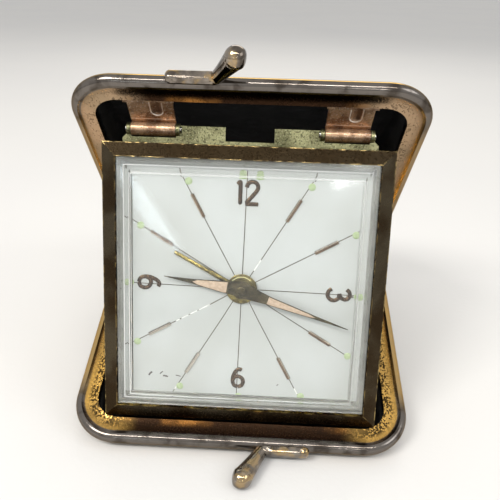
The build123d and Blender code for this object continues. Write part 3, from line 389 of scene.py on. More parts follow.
def frameFinish(name, plane):
    look = frameLook
    half = look[plane]
    finish = Finish(name, plane)
    x, s, depth = finish.parts()
    outX = abs(x) - (look["halfWidth"] - look["corner"])
    outS = look["corner"] - s
    reach = finish.length(outX.atLeast(0), outS.atLeast(0)) + outX.atLeast(outS).atMost(0)
    inward = look["corner"] - reach  # distance from the frame's outer edge, towards the mouth
    cloud = finish.noise(0.07, 3)
    patch = finish.noise(0.30, 5, 0.5)
    fine = finish.noise(2.2, 5)
    grains = finish.noise(2.3, 4, 0.3, stretch=(1, 1.2, 1))
    pits = (grains + (patch - 0.5) * 0.45).above(half["pitEdge"], 0.035)
    onBand = inward.above(look["rim"] - 0.15, 0.4)
    outerSide = abs(depth).above(look["sideDepth"], 0.5) * inward.below(look["sideWidth"], 0.5)
    onLeg = s.above(look["barEnd"], 8.0)
    nickel = finish.layers(
        look["nickel"], (patch.above(0.48, 0.22), look["nickelDull"]),
        (outerSide * (0.55 + patch * 0.5), look["brassLine"]),
        (onLeg * half["gilded"] * (0.5 + patch * 0.6), look["giltRim"]),
    )
    # darker brown towards the middle of the bar
    darkMiddle = abs(x).below(half["darkMiddle"], 8.0) * s.below(look["barEnd"], 4.0)
    far = cloud.above(0.42, 0.2).atLeast(x.above(-5.0, 30.0) * 0.5)
    # painted highlight: a brighter gold strip along the band's edge next to the rim
    lip = inward.below(look["lipWidth"], 1.2) * half["lip"]
    legTone = finish.layers(half["leg"], (far, half["legFar"]), (lip, half["lipTone"]))
    glow = cloud.above(0.52, 0.15) * inward.above(look["glowFrom"], 1.4)
    brown = finish.blend(glow, look["brown"], look["glow"])
    worn = pits * half["pits"] * (1 - darkMiddle * 0.5) * (0.25 + inward.above(look["lipWidth"], 1.2) * 0.75)
    bandTone = finish.layers(legTone, (darkMiddle, brown), (worn, look["pit"]))
    colour = finish.blend(onBand, nickel, bandTone)
    rough = look["rough"] + onBand * look["bandRough"] + (fine - 0.5) * 0.10
    rough = rough + worn * onBand * look["pitRough"]
    height = fine * (0.004 + onBand * 0.012) - worn * onBand * 0.02
    return finish.coated(colour, rough, height, Metallic=1.0, Specular_Tint=look["slant"])


dress(frameFinish("frontFrameMetal", "front"), "front_frame")
dress(frameFinish("rearFrameMetal", "rear"), "rear_frame")

# The bezel: dark antique bronze, rubbed to gold along its edges and mitres, with painted shade darkening
# its top band
bezelLook = {
    "outerX": 30.0, "outerV": 30.1, "innerX": 27.1, "innerV": 27.2, "line": 0.16,
    # dark is the colour of the painted shade on the top band
    "dark": (0.006, 0.004, 0.002), "brown": (0.036, 0.024, 0.013), "side": (0.070, 0.056, 0.036),
    "gold": (0.42, 0.31, 0.13), "slant": (0.22, 0.18, 0.13), "rough": 0.26,
}


def bezelFinish():
    look = bezelLook
    finish = Finish("bezelBronze", "clock")
    x, v, n = finish.parts()
    alongX, alongV = abs(x), abs(v)
    cloud = finish.noise(0.09, 4, 0.4)
    fine = finish.noise(1.8, 6)
    rubbed = finish.noise(0.5, 5, 0.5)
    outer = (look["outerX"] - alongX).atMost(look["outerV"] - alongV)
    inner = (alongX - look["innerX"]).atLeast(alongV - look["innerV"])
    mitre = abs(alongX - alongV + (look["outerV"] - look["outerX"]))
    line = look["line"]
    edges = outer.below(line * 1.5, line) * n.above(-0.35, 0.2)
    edges = edges.atLeast(inner.below(line * 1.2, line))
    edges = edges.atLeast(mitre.below(line, line) * n.above(-0.1, 0.1))
    wear = edges * rubbed.above(0.42, 0.25)
    # painted shade: the top band is painted nearly black, and gets less gold wear
    topPaintedShade = (v - alongX).above(-0.2, 0.4)
    coats = (cloud.above(0.40, 0.25), look["brown"]), (topPaintedShade * 0.96, look["dark"])
    colour = finish.layers(look["side"], *coats, (wear * (0.85 - topPaintedShade * 0.45), look["gold"]))
    rough = look["rough"] + (fine - 0.5) * 0.2 - wear * 0.06
    return finish.coated(colour, rough, fine * 0.01, Metallic=1.0, Specular_Tint=look["slant"])


dress(bezelFinish(), "bezel")

# The dial: silvered white with a faint grain
dialLook = {
    "silver": (0.57, 0.59, 0.58), "shade": (0.51, 0.525, 0.505), "fleck": (0.36, 0.36, 0.34),
    "rough": 0.42, "metallic": 0.15,
}


def dialFinish():
    finish = Finish("dialSilver", "clock")
    cloud = finish.noise(0.05, 3)
    grain = finish.noise(2.6, 4, stretch=(1, 7, 1))
    fleck = finish.noise(3.0, 3).above(0.70, 0.06)
    coats = (cloud.above(0.35, 0.3), dialLook["shade"]), (grain * 0.12, dialLook["shade"])
    colour = finish.layers(dialLook["silver"], *coats, (fleck * 0.25, dialLook["fleck"]))
    rough = dialLook["rough"] + (grain - 0.5) * 0.12
    return finish.coated(colour, rough, grain * 0.01, Metallic=dialLook["metallic"])


dress(dialFinish(), "dial")

# The dial's own middle, and what is printed and stuck on it
dialMarks = {
    "centre": (-0.5, -0.6), "turn": 1.0, "depth": -3.2, "hours": 12,
    "lineWidth": 0.35, "lineHeight": 0.03, "lineStart": 3.3, "edge": 25.2,
    "gleamWider": 1.25, "gleamHigher": 1.6, "numberStroke": 0.88, "numberRise": 0.34, "numberWidth": 0.98,
    "dotRadius": 0.8, "dotRise": 0.2, "scuffRise": 0.03,
}


def fromMiddle(finish):  # east and north of the dial's middle, and the distance from it
    x, v = finish.parts()[:2]
    east, north = x - dialMarks["centre"][0], v - dialMarks["centre"][1]
    return east, north, finish.length(east, north)


# The hour bars: bronze with a painted highlight along one side and dark outlines, painted paler towards 7
# and 8 o'clock
batonLook = {
    # the pale colour towards 7 and 8 o'clock and the bright colour along one side are painted highlights
    "base": (0.17, 0.10, 0.055), "tone": (0.27, 0.17, 0.10), "worn": (0.80, 0.76, 0.68),
    "paintedHighlight": (0.92, 0.86, 0.76), "dark": (0.05, 0.035, 0.02),
    "paintedLightFrom": 8.0, "paintedLightShare": 0.55, "edge": 0.34, "seam": 0.05, "paintedShine": -0.15,
    "rough": 0.14, "roughSpread": 0.16, "metallic": 0.9,
}


def batonFinish():
    look = batonLook
    hours = dialMarks["hours"]
    finish = Finish("batonBronze", "clock")
    east, north, away = fromMiddle(finish)
    heading = east.maths("ARCTAN2", east, north) - math.radians(dialMarks["turn"])
    side = away * heading.maths("SINE", heading * hours) / hours  # from the middle line of the nearest hour
    cloud = finish.noise(0.16, 4)
    grain = finish.noise(3.0, 4)
    x, v = finish.parts()[:2]
    # worn here is a painted highlight: the bars towards 7 and 8 o'clock are painted paler
    worn = (x * -0.8 + v * -0.6).above(look["paintedLightFrom"], 6.0) * look["paintedLightShare"]
    # painted highlight along one side of each bar
    paintedShine = side.below(look["paintedShine"], 0.05) * (0.55 + grain * 0.45)
    darkOutlines = abs(side).above(look["edge"], 0.04).atLeast(abs(side).below(look["seam"], 0.05) * 0.8)
    coats = (cloud.above(0.40, 0.2), look["tone"]), (worn, look["worn"]), (paintedShine, look["paintedHighlight"])
    colour = finish.layers(look["base"], *coats, (darkOutlines, look["dark"]))
    rough = look["rough"] + (grain - 0.5) * look["roughSpread"]
    return finish.coated(colour, rough, grain * 0.01, Metallic=look["metallic"])


# The alarm hand: olive brass; its hub has painted shade inside a ring with a painted highlight at the top
hubLook = {
    "base": (0.115, 0.090, 0.030), "tone": (0.27, 0.215, 0.070),
    "dark": (0.014, 0.011, 0.006), "ringHighlight": (0.98, 0.95, 0.62),
    "inside": 2.3, "ring": 2.78, "ringWidth": 0.16, "rough": 0.24,
}


def hubFinish():
    look = hubLook
    finish = Finish("hubBrass", "clock")
    east, north, away = fromMiddle(finish)
    cloud = finish.noise(0.8, 4)
    grain = finish.noise(5.0, 4)
    litTop = (north - east * 0.35).above(0.6, 1.4)
    # painted highlight on the top of the ring, and painted shade inside it
    paintedShine = abs(away - look["ring"]).below(look["ringWidth"], 0.15) * litTop * (0.5 + cloud * 0.6)
    coats = (cloud.above(0.40, 0.2), look["tone"]), (away.below(look["inside"], 0.25) * 0.85, look["dark"])
    colour = finish.layers(look["base"], *coats, (paintedShine, look["ringHighlight"]))
    rough = look["rough"] + (grain - 0.5) * 0.15
    return finish.coated(colour, rough, grain * 0.01, Metallic=1.0)


# The crystal: clear, with painted highlight lines where its bevel starts and ends, brighter towards the
# left and bottom, and a faint white over the bevel
glassLook = {
    "clear": (0.97, 0.985, 0.985), "shadow": (0.97, 0.98, 0.98), "index": 1.12, "coatRough": 0.08,
    "lines": (23.9, 25.5), "lineWidth": 0.2, "highlightFrost": (0.80, 0.82, 0.81), "bevelFrom": 23.8, "haze": 0.06,
}


def glassFinish():
    look = glassLook
    finish = Finish("clearCrystal", "clock")
    x, v = finish.parts()[:2]
    out = abs(x).atLeast(abs(v))
    smear = finish.noise(0.15, 4, 0.6)
    scratch = finish.noise(3.0, 2, stretch=(1, 30, 1)).above(0.66, 0.05)
    rough = smear.above(0.5, 0.3) * 0.02 + scratch * 0.03
    glass = finish.shader(
        Base_Color=look["clear"], Roughness=rough, IOR=look["index"], Transmission_Weight=1.0,
        Coat_Weight=1.0, Coat_Roughness=look["coatRough"], Coat_IOR=1.5, Normal=finish.bump(smear * 0.004),
    )
    rubbed = finish.noise(0.4, 4, 0.3)
    inner, outer = [abs(out - place).below(look["lineWidth"], look["lineWidth"]) for place in look["lines"]]
    bevel = out.above(look["bevelFrom"], 0.3) * look["haze"]
    highlightFrost = finish.shader(Base_Color=look["highlightFrost"], Roughness=0.35 + rubbed * 0.1)
    # painted highlight: the lines vary at random and are brighter towards the left and bottom
    paintedHighlight = 0.15 + rubbed * 0.4 + (x + v * 0.35).below(-8.0, 20.0) * 0.45
    share = (inner.atLeast(outer) * paintedHighlight).atLeast(bevel)
    body = finish.node("MixShader", None, {0: share, 1: glass, 2: highlightFrost})
    clear = finish.node("BsdfTransparent", None, {0: (*look["shadow"], 1)})
    passes = finish.rays("Shadow", "Diffuse")
    return finish.done(finish.node("MixShader", None, {0: passes, 1: body, 2: clear}))


dress(glassFinish(), "crystal")
print("face finishes done")


# Meshes
strokeEnd = 0.55  # width and height of a stroke's two ends, as a share of the rest


class Form:  # points in millimetres in one plane, and the faces between them
    def __init__(self, plane):
        self.plane = planes[plane]
        self.points = []
        self.faces = []

    def add(self, points, faces):
        start = len(self.points)
        self.points += points
        self.faces += [[start + corner for corner in face] for face in faces]

    def loft(self, rows, closed=False, capped=False):  # a skin from each row of points to the next
        size = len(rows[0])
        faces = [
            [i * size + k, (i + 1) * size + k, (i + 1) * size + (k + 1) % size, i * size + (k + 1) % size]
            for i in range(len(rows) - 1) for k in range(size if closed else size - 1)
        ]
        if capped:
            faces += [list(range(size))[::-1], [(len(rows) - 1) * size + k for k in range(size)]]
        self.add([point for row in rows for point in row], faces)

    def stroke(self, path, width, height, base, rounds):  # a half round bar, narrower at its two ends
        last = len(path) - 1
        rows = []
        for i, (x, y) in enumerate(path):
            before, after = path[max(i - 1, 0)], path[min(i + 1, last)]
            dx, dy = after[0] - before[0], after[1] - before[1]
            size = math.hypot(dx, dy) or 1.0
            side = (-dy / size, dx / size)
            share = 1.0 if 0 < i < last else strokeEnd
            row = []
            for k in range(rounds + 1):
                turn = math.pi * k / rounds
                out = math.cos(turn) * width / 2 * share
                row.append((x + side[0] * out, y + side[1] * out, base + math.sin(turn) * height * share))
            rows.append(row)
        self.loft(rows, capped=True)

    def dome(self, x, y, radius, height, base, around=20, rings=4):
        points, faces = [], []
        for ring in range(rings):
            turn = math.pi / 2 * ring / rings
            reach, rise = radius * math.cos(turn), base + height * math.sin(turn)
            for k in range(around):
                angle = 2 * math.pi * k / around
                points.append((x + reach * math.cos(angle), y + reach * math.sin(angle), rise))
        points.append((x, y, base + height))
        for ring in range(rings - 1):
            for k in range(around):
                near, far = ring * around, (ring + 1) * around
                faces.append([near + k, near + (k + 1) % around, far + (k + 1) % around, far + k])
        last = (rings - 1) * around
        faces += [[last + k, last + (k + 1) % around, last + around] for k in range(around)]
        self.add(points, faces)

    def build(self, name, material, body, smooth=60):
        mesh = bpy.data.meshes.new(name)
        placed = [self.plane @ (Vector(point) * mm) for point in self.points]
        mesh.from_pydata(placed, [], self.faces)
        mesh.update()
        shadeSmooth(mesh, smooth)
        mesh.materials.append(material)
        piece = addObject(name, mesh)
        if body:
            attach(piece, body)
        return piece


def smoothPath(points, steps=8):  # a curve through the points
    last = len(points) - 1
    made = []
    for i in range(last):
        near = [points[min(max(place, 0), last)] for place in range(i - 1, i + 3)]
        for step in range(steps):
            t = step / steps
            weights = (
                (-t + 2 * t**2 - t**3) / 2, (2 - 5 * t**2 + 3 * t**3) / 2,
                (t + 4 * t**2 - 3 * t**3) / 2, (t**3 - t**2) / 2,
            )
            made.append(tuple(sum(w * p[axis] for w, p in zip(weights, near)) for axis in (0, 1)))
    made.append(points[-1])
    return made


# What is printed, stuck and scratched on the dial
gleamPlaces = [  # painted highlights on the thin lines: hour, and from where to where along its line
    (8, 7.9, 10.6), (8, 11.0, 12.8), (8, 13.2, 15.0), (8, 15.4, 16.4), (1, 4.9, 7.7), (7, 26.8, 28.2),
    (5, 25.8, 27.4),
]
scuffPlaces = [  # place from the dial's middle, length, turn, width
    (-20.0, -20.6, 1.15, 48, 0.42), (-17.5, -20.3, 1.0, 45, 0.25), (-16.6, -21.1, 1.2, -10, 0.36),
    (-13.7, -20.9, 1.2, -12, 0.24), (24.9, -1.2, 0.9, 80, 0.6), (23.6, -0.8, 1.6, 0, 0.4),
    (8.8, -22.0, 0.5, 40, 0.2),
]
numberPaths = {  # strokes for a number one unit high, centred
    "1": [[(-0.13, 0.36), (-0.02, 0.47), (0.0, 0.30), (0.0, -0.5)]],
    "2": [
        [(-0.24, 0.24), (-0.20, 0.39), (-0.05, 0.49), (0.12, 0.47), (0.24, 0.34), (0.22, 0.14),
         (-0.02, -0.16), (-0.27, -0.44)],
        [(-0.29, -0.47), (0.0, -0.47), (0.29, -0.47)],
    ],
    "3": [
        [(-0.24, 0.34), (-0.13, 0.46), (0.04, 0.49), (0.19, 0.41), (0.22, 0.24), (0.12, 0.09),
         (-0.04, 0.03)],
        [(-0.04, 0.03), (0.17, 0.0), (0.28, -0.17), (0.24, -0.36), (0.08, -0.48), (-0.12, -0.46),
         (-0.26, -0.32)],
    ],
    "6": [
        [(0.19, 0.44), (0.05, 0.49), (-0.11, 0.38), (-0.24, 0.12), (-0.28, -0.16), (-0.20, -0.40),
         (0.0, -0.49)],
        [(0.0, -0.49), (0.20, -0.41), (0.28, -0.20), (0.20, 0.0), (0.0, 0.09), (-0.18, 0.03),
         (-0.28, -0.16)],
    ],
}
numberPlaces = [  # strokes, middle from the dial's centre, height, turn
    ("1", (-0.95, 20.9), 4.9, 0), ("2", (1.55, 20.9), 4.9, 0), ("3", (21.12, -0.32), 4.9, -90),
    ("6", (-20.33, 0.66), 4.6, 270), ("6", (-0.19, -20.69), 4.3, 0),
]
lumePlaces = [  # from the dial's middle
    (-11.96, 23.0), (-22.16, 13.18), (-24.44, 0.5), (-0.48, 24.58), (3.14, 24.5), (14.08, 22.65),
    (24.0, 12.81), (25.2, -0.74), (23.99, -14.36), (14.09, -24.43), (-0.02, -25.1), (-13.31, -23.29),
    (-22.92, -13.1),
]


def fromDial(x, y):
    return dialMarks["centre"][0] + x, dialMarks["centre"][1] + y


def inkFinish(name, colour, tone, rough, metallic):
    finish = Finish(name, "clock")
    mottle = finish.noise(1.4, 4)
    shade = finish.blend(mottle.above(0.35, 0.3), colour, tone)
    height = finish.noise(6.0, 3) * 0.02
    return finish.coated(shade, rough + (mottle - 0.5) * 0.2, height, Metallic=metallic)


inkLooks = {  # colour, second tone, roughness, metallic share
    "numberBronze": ((0.055, 0.034, 0.019), (0.10, 0.060, 0.032), 0.26, 0.85),
    # lineHighlight is the painted highlight colour for the gleaming stretches of the thin lines
    "lineHighlight": ((0.80, 0.80, 0.76), (0.93, 0.93, 0.90), 0.3, 0.3),
    "lineInk": ((0.050, 0.040, 0.026), (0.11, 0.088, 0.054), 0.35, 0.6),
    "lumePaint": ((0.36, 0.46, 0.24), (0.47, 0.56, 0.34), 0.7, 0.0),
    "peachPaint": ((0.47, 0.34, 0.24), (0.58, 0.44, 0.32), 0.6, 0.0),
    "scuffInk": ((0.06, 0.05, 0.05), (0.15, 0.13, 0.12), 0.7, 0.0),
}
inks = {name: inkFinish(name, *look) for name, look in inkLooks.items()}


def hourAngle(hour):
    return math.radians(hour * 360 / dialMarks["hours"] + dialMarks["turn"])


def hourLine(form, hour, first, last, wider=1.0, higher=1.0, rounds=2):
    angle = hourAngle(hour)
    ends = [fromDial(r * math.sin(angle), r * math.cos(angle)) for r in (first, last)]
    width, height = dialMarks["lineWidth"] * wider, dialMarks["lineHeight"] * higher
    form.stroke(ends, width, height, dialMarks["depth"], rounds)


def dialLines():
    lines, gleams = Form("clock"), Form("clock")
    for hour in range(dialMarks["hours"]):
        angle = hourAngle(hour)
        last = dialMarks["edge"] / max(abs(math.sin(angle)), abs(math.cos(angle)))
        hourLine(lines, hour, dialMarks["lineStart"], last)
    lines.build("dialLines", inks["lineInk"], "clock")
    for hour, first, last in gleamPlaces:  # painted highlights: white strokes over the thin lines
        hourLine(gleams, hour, first, last, dialMarks["gleamWider"], dialMarks["gleamHigher"], rounds=3)
    gleams.build("dialLineHighlights", inks["lineHighlight"], "clock")


def turned(x, y, degrees):
    cosine, sine = math.cos(math.radians(degrees)), math.sin(math.radians(degrees))
    return x * cosine - y * sine, x * sine + y * cosine


def dialNumbers():
    form = Form("clock")
    marks = dialMarks
    for digit, middle, height, turn in numberPlaces:
        for path in numberPaths[digit]:
            placed = []
            for x, y in smoothPath(path):
                right, up = turned(x * height * marks["numberWidth"], y * height, turn)
                placed.append(fromDial(middle[0] + right, middle[1] + up))
            form.stroke(placed, marks["numberStroke"], marks["numberRise"], marks["depth"], rounds=8)
    form.build("dialNumbers", inks["numberBronze"], "clock")


def lumeDots():
    form = Form("clock")
    for place in lumePlaces:
        form.dome(*fromDial(*place), dialMarks["dotRadius"], dialMarks["dotRise"], dialMarks["depth"])
    form.build("lumeDots", inks["lumePaint"], "clock")


def dialScuffs():
    form = Form("clock")
    for x, y, length, turn, width in scuffPlaces:
        dx, dy = turned(length / 2, 0, turn)
        path = [fromDial(x - dx, y - dy), fromDial(x, y + 0.08), fromDial(x + dx, y + dy)]
        form.stroke(smoothPath(path, steps=4), width, dialMarks["scuffRise"], dialMarks["depth"], rounds=4)
    form.build("dialScuffs", inks["scuffInk"], "clock")


dialLines()
dialNumbers()
lumeDots()
dialScuffs()

# The hands: straight wedges from a wide hub, with peach paint let in, and a ridged alarm hand.
# Halves are places along the hand with half its width there; fill is where the paint starts and ends.
handLooks = {
    "hourBlade": {
        "node": "hour_hand", "body": "hour_works", "angle": 278.2,
        "base": -2.2, "hub": 2.2, "metal": "giltHands",
        "halves": [(-2.4, 0.30), (-0.2, 1.75), (3.2, 1.42), (10.7, 0.53), (17.0, 0.06)],
        "fill": (3.2, 10.7),
    },
    "minuteBlade": {
        "node": "minute_hand", "body": "minute_works", "angle": 108.2,
        "base": -1.7, "hub": 1.35, "metal": "giltHands",
        "halves": [(-3.2, 0.40), (-0.3, 1.88), (6.1, 1.0), (16.9, 0.40), (24.6, 0.06)],
        "fill": (6.1, 17.0),
    },
    "alarmBlade": {
        "node": "alarm_hand", "body": "alarm_works", "angle": 297.7,
        "base": -2.75, "hub": 3.4, "metal": "hubBrass",
        "halves": [(0.5, 0.52), (16.6, 0.38)], "fill": None,
    },
}
handShape = {
    "thickness": 0.22, "shoulder": 0.6, "bevel": 0.07, "bevelShare": 0.4, "ridge": 0.16, "steps": 18,
    "hubRise": 0.03, "fillFrame": 0.17, "fillRise": 0.012, "fillBelly": 0.05, "fillRows": 14,
    "fillAcross": 4,
}


def halfWidth(halves, along):
    for (first, wide), (last, narrow) in zip(halves, halves[1:]):
        if along <= last:
            return wide + (narrow - wide) * max(0.0, along - first) / (last - first)
    return halves[-1][1]


def handPlace(look, along, side, rise):
    return (*fromDial(*turned(side, along, -look["angle"])), look["base"] + rise)


def handBlade(name, look):
    shape = handShape
    halves = look["halves"]
    first, last = halves[0][0], halves[-1][0]
    thick, steps = shape["thickness"], shape["steps"]
    ridge = 0.0 if look["fill"] else shape["ridge"]
    evenly = {first + (last - first) * i / steps for i in range(steps + 1)}
    rows = []
    for along in sorted({place for place, _ in halves} | evenly):
        half = halfWidth(halves, along)
        top = half - min(shape["bevel"], half * shape["bevelShare"])
        low = thick * shape["shoulder"]
        section = [(-half, 0), (-half, low), (-top, thick), (0, thick + ridge)]
        section += [(-side, rise) for side, rise in section[2::-1]]
        rows.append([handPlace(look, along, side, rise) for side, rise in section])
    form = Form("clock")
    form.loft(rows, closed=True, capped=True)
    form.dome(*fromDial(0, 0), look["hub"], thick + shape["hubRise"], look["base"], around=36, rings=5)
    blade = form.build(name, metals[look["metal"]], look["body"], smooth=20)
    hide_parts(look["node"])
    if look["fill"]:
        handFill(name + "Fill", look)


def handFill(name, look):
    shape = handShape
    first, last = look["fill"]
    steps, across = shape["fillRows"], shape["fillAcross"]
    rows = []
    for i in range(steps + 1):
        along = first + (last - first) * i / steps
        half = max(0.02, halfWidth(look["halves"], along) - shape["fillFrame"])
        half *= min(1.0, (steps - i) / 2 + 0.15)  # the paint ends in a short point
        row = []
        for k in range(across + 1):
            share = k / across * 2 - 1
            rise = shape["thickness"] + shape["fillRise"] + shape["fillBelly"] * (1 - share**2)
            row.append(handPlace(look, along, share * half, rise))
        rows.append(row)
    form = Form("clock")
    form.loft(rows)
    form.build(name, inks["peachPaint"], look["body"])


metals["hubBrass"] = hubFinish()
for handName, handLook in handLooks.items():
    handBlade(handName, handLook)
dress(batonFinish(), "hour_batons")
print("dial marks and hands done")

# The pouch: one leather shell and one velvet lining, each with folds behind the hinge
pouchLook = {
    "leatherVoxel": 0.6, "liningVoxel": 0.5, "relaxSteps": 4, "relaxShare": 0.6, "zone": 4.5,
    # the crease colour is painted shade in the grain's creases
    "leather": (0.015, 0.010, 0.008), "leatherWorn": (0.048, 0.031, 0.021), "creaseShade": (0.010, 0.008, 0.007),
    "pebble": 1.15, "pebbleEdge": 0.14, "leatherRough": 0.50,
    "velvet": (0.004, 0.004, 0.005), "velvetLight": (0.012, 0.012, 0.015), "lint": (0.25, 0.25, 0.24),
    "velvetRough": 0.9,
}
# Folds run across behind the hinge, pleats hang from the frames. A pair is where something starts
# and how far it takes to come in full, in millimetres from the hinge or degrees round it.
pouchFolds = {
    "foldDepth": 0.75, "foldStart": (8, 14), "foldHalfTurn": 66, "foldsPerTurn": 8.0, "foldSway": 5.0,
    "sideEdge": 34, "sideFade": 9, "pleatDepth": 0.5, "pleatWidth": 7.5, "pleatSway": 3.0, "pleatSink": 0.4,
    "pleatStart": (40, 14), "pleatTurn": (95, 25), "seam": 30.4, "seamDepth": 0.35, "seamHalf": 0.95,
    "seamStart": (9, 6), "puff": 0.9, "puffStart": (20, 14), "bellyStart": 14, "bellyEnd": 58,
    "bellyFade": 20, "dentScale": 0.09, "sideDent": 0.45, "backDent": 0.35, "tableGap": 0.02,
    "swayScale": 0.045, "swayTurnScale": 0.02, "swaySeed": 3.0, "foldLeast": 0.65, "foldUneven": 0.8,
}
threadLook = {
    "step": 2.5, "length": 1.75, "width": 0.42, "lift": 0.02, "sink": 0.22, "rows": 6, "around": 5,
    "colour": (0.10, 0.075, 0.055), "firstTurn": 212, "turnStep": 0.24, "turns": 1100, "outside": 90,
    "lowest": 0.9,
}
partingAngle = math.radians((tilts["front"] + tilts["rear"]) / 2)  # the pouch's halves meet at this tilt


def bendAtHinge(piece):  # bakes the piece's placement into its mesh
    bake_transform(piece)


def comesIn(value, start, width):  # 0 before start, 1 past start + width
    return np.clip((value - start) / width, 0, 1)


def softShift(points):
    folds = pouchFolds
    shifted = points.copy()
    wide = np.abs(points[:, 0])
    rel = points - np.array(hingeLine) / mm
    radius = np.hypot(rel[:, 1], rel[:, 2])
    angle = np.degrees(np.arctan2(rel[:, 2], rel[:, 1])) - math.degrees(partingAngle)
    turn = (angle + 180) % 360 - 180  # 0 straight behind the hinge, 143 at the frames
    unit = rel / np.maximum(radius, 1e-6)[:, None]
    along, about = points[:, 0] * folds["swayScale"], turn * folds["swayTurnScale"]
    wander = np.array([noise.noise(Vector((x, t, folds["swaySeed"]))) for x, t in zip(along, about)])
    edge = np.clip((folds["sideEdge"] - wide) / folds["sideFade"], 0, 1)
    backward = np.clip(1 - (turn / folds["foldHalfTurn"]) ** 2, 0, 1)
    waves = np.cos(np.radians(turn) * folds["foldsPerTurn"] + folds["foldSway"] * wander)
    behind = backward * comesIn(radius, *folds["foldStart"]) * edge
    push = folds["foldDepth"] * waves * behind * (folds["foldLeast"] + folds["foldUneven"] * wander)
    nearFrame = comesIn(radius, *folds["pleatStart"]) * comesIn(np.abs(turn), *folds["pleatTurn"])
    pleats = np.cos(points[:, 0] * 2 * math.pi / folds["pleatWidth"] + folds["pleatSway"] * wander)
    push += folds["pleatDepth"] * (pleats - folds["pleatSink"]) * nearFrame * edge
    seam = np.clip(1 - ((wide - folds["seam"]) / folds["seamHalf"]) ** 2, 0, 1)
    push -= folds["seamDepth"] * seam * comesIn(radius, *folds["seamStart"])
    shifted[:, 1] += unit[:, 1] * push
    shifted[:, 2] += unit[:, 2] * push
    side = comesIn(wide, *folds["puffStart"]) * np.sign(points[:, 0])
    belly = np.clip(radius / folds["bellyStart"], 0, 1)
    belly = belly * np.clip((folds["bellyEnd"] - radius) / folds["bellyFade"], 0, 1)
    dents = np.array([noise.noise(Vector(p * folds["dentScale"])) for p in points])
    puff = folds["puff"] * np.cos(np.radians(turn) * 0.5) ** 2
    shifted[:, 0] += side * belly * (puff + folds["sideDent"] * dents)
    shifted[:, 1] += folds["backDent"] * dents * np.clip(radius / folds["bellyFade"], 0, 1)
    shifted[:, 2] = np.maximum(shifted[:, 2], np.minimum(points[:, 2], folds["tableGap"]))
    return shifted


def softPiece(name, sources, material, voxel):  # the sources joined, remeshed, relaxed and folded into one piece
    mesh = bpy.data.meshes.new(name)
    points, faces = [], []
    for source in sources:
        base = cad[source].data
        start = len(points)
        points += [vertex.co[:] for vertex in base.vertices]
        faces += [[start + corner for corner in polygon.vertices] for polygon in base.polygons]
    mesh.from_pydata(points, [], faces)
    piece = addObject(name, mesh)
    remesh = piece.modifiers.new("remesh", "REMESH")
    remesh.mode = "VOXEL"
    remesh.voxel_size = voxel * mm
    relax = piece.modifiers.new("relax", "SMOOTH")
    relax.iterations = pouchLook["relaxSteps"]
    relax.factor = pouchLook["relaxShare"]
    graph = bpy.context.evaluated_depsgraph_get()
    final = bpy.data.meshes.new_from_object(piece.evaluated_get(graph))
    piece.modifiers.clear()
    piece.data = final
    coords = np.zeros(len(final.vertices) * 3)
    final.vertices.foreach_get("co", coords)
    coords = softShift(coords.reshape(-1, 3) / mm)
    final.vertices.foreach_set("co", (coords * mm).ravel())
    final.update()
    final.shade_smooth()
    cover(final, material)
    bendAtHinge(piece)
    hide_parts(*sources)
    print(name, len(final.vertices), "points")
    return piece


def leatherFinish():
    look = pouchLook
    finish = Finish("pebbledLeather", "table")
    drift = finish.node("TexNoise", None, {"Vector": finish.at, "Scale": 0.8}, out=1)  # 1: the colour
    warped = finish.node("VectorMath", {"operation": "ADD"}, {0: finish.at, 1: drift})
    sockets = {"Vector": warped, "Scale": look["pebble"]}
    pebbles = finish.node("TexVoronoi", {"feature": "DISTANCE_TO_EDGE"}, sockets)
    pebbles = pebbles.atMost(look["pebbleEdge"]) / look["pebbleEdge"]
    wide = finish.noise(0.06, 4)
    fine = finish.noise(3.5, 4)
    tops = pebbles.above(0.55, 0.4)
    worn = wide.above(0.42, 0.25) * tops * 0.6, look["leatherWorn"]
    # painted shade: darker in the creases between the pebbles
    colour = finish.layers(look["leather"], worn, (pebbles.below(0.3, 0.3) * 0.7, look["creaseShade"]))
    rough = look["leatherRough"] - tops * 0.10 + (fine - 0.5) * 0.16
    height = pebbles * 0.10 + fine * 0.03
    return finish.coated(colour, rough, height, Specular_IOR_Level=0.35)


def velvetFinish():
    look = pouchLook
    finish = Finish("blackVelvet", "table")
    pile = finish.noise(5.0, 3)
    brushed = finish.noise(0.25, 4, 0.8)
    lint = finish.noise(1.9, 2).above(0.74, 0.02)
    brighter = brushed.above(0.45, 0.25), look["velvetLight"]
    colour = finish.layers(look["velvet"], brighter, (lint * 0.25, look["lint"]))
    rough = look["velvetRough"] + (pile - 0.5) * 0.1
    sheen = {"Sheen_Weight": 0.10, "Sheen_Roughness": 0.4, "Specular_IOR_Level": 0.1}
    return finish.coated(colour, rough, pile * 0.10, **sheen)


def threadFinish():
    finish = Finish("waxedThread", "table")
    twist = finish.noise(5.0, 3)
    return finish.coated(threadLook["colour"], 0.5 + twist * 0.2, twist * 0.05)


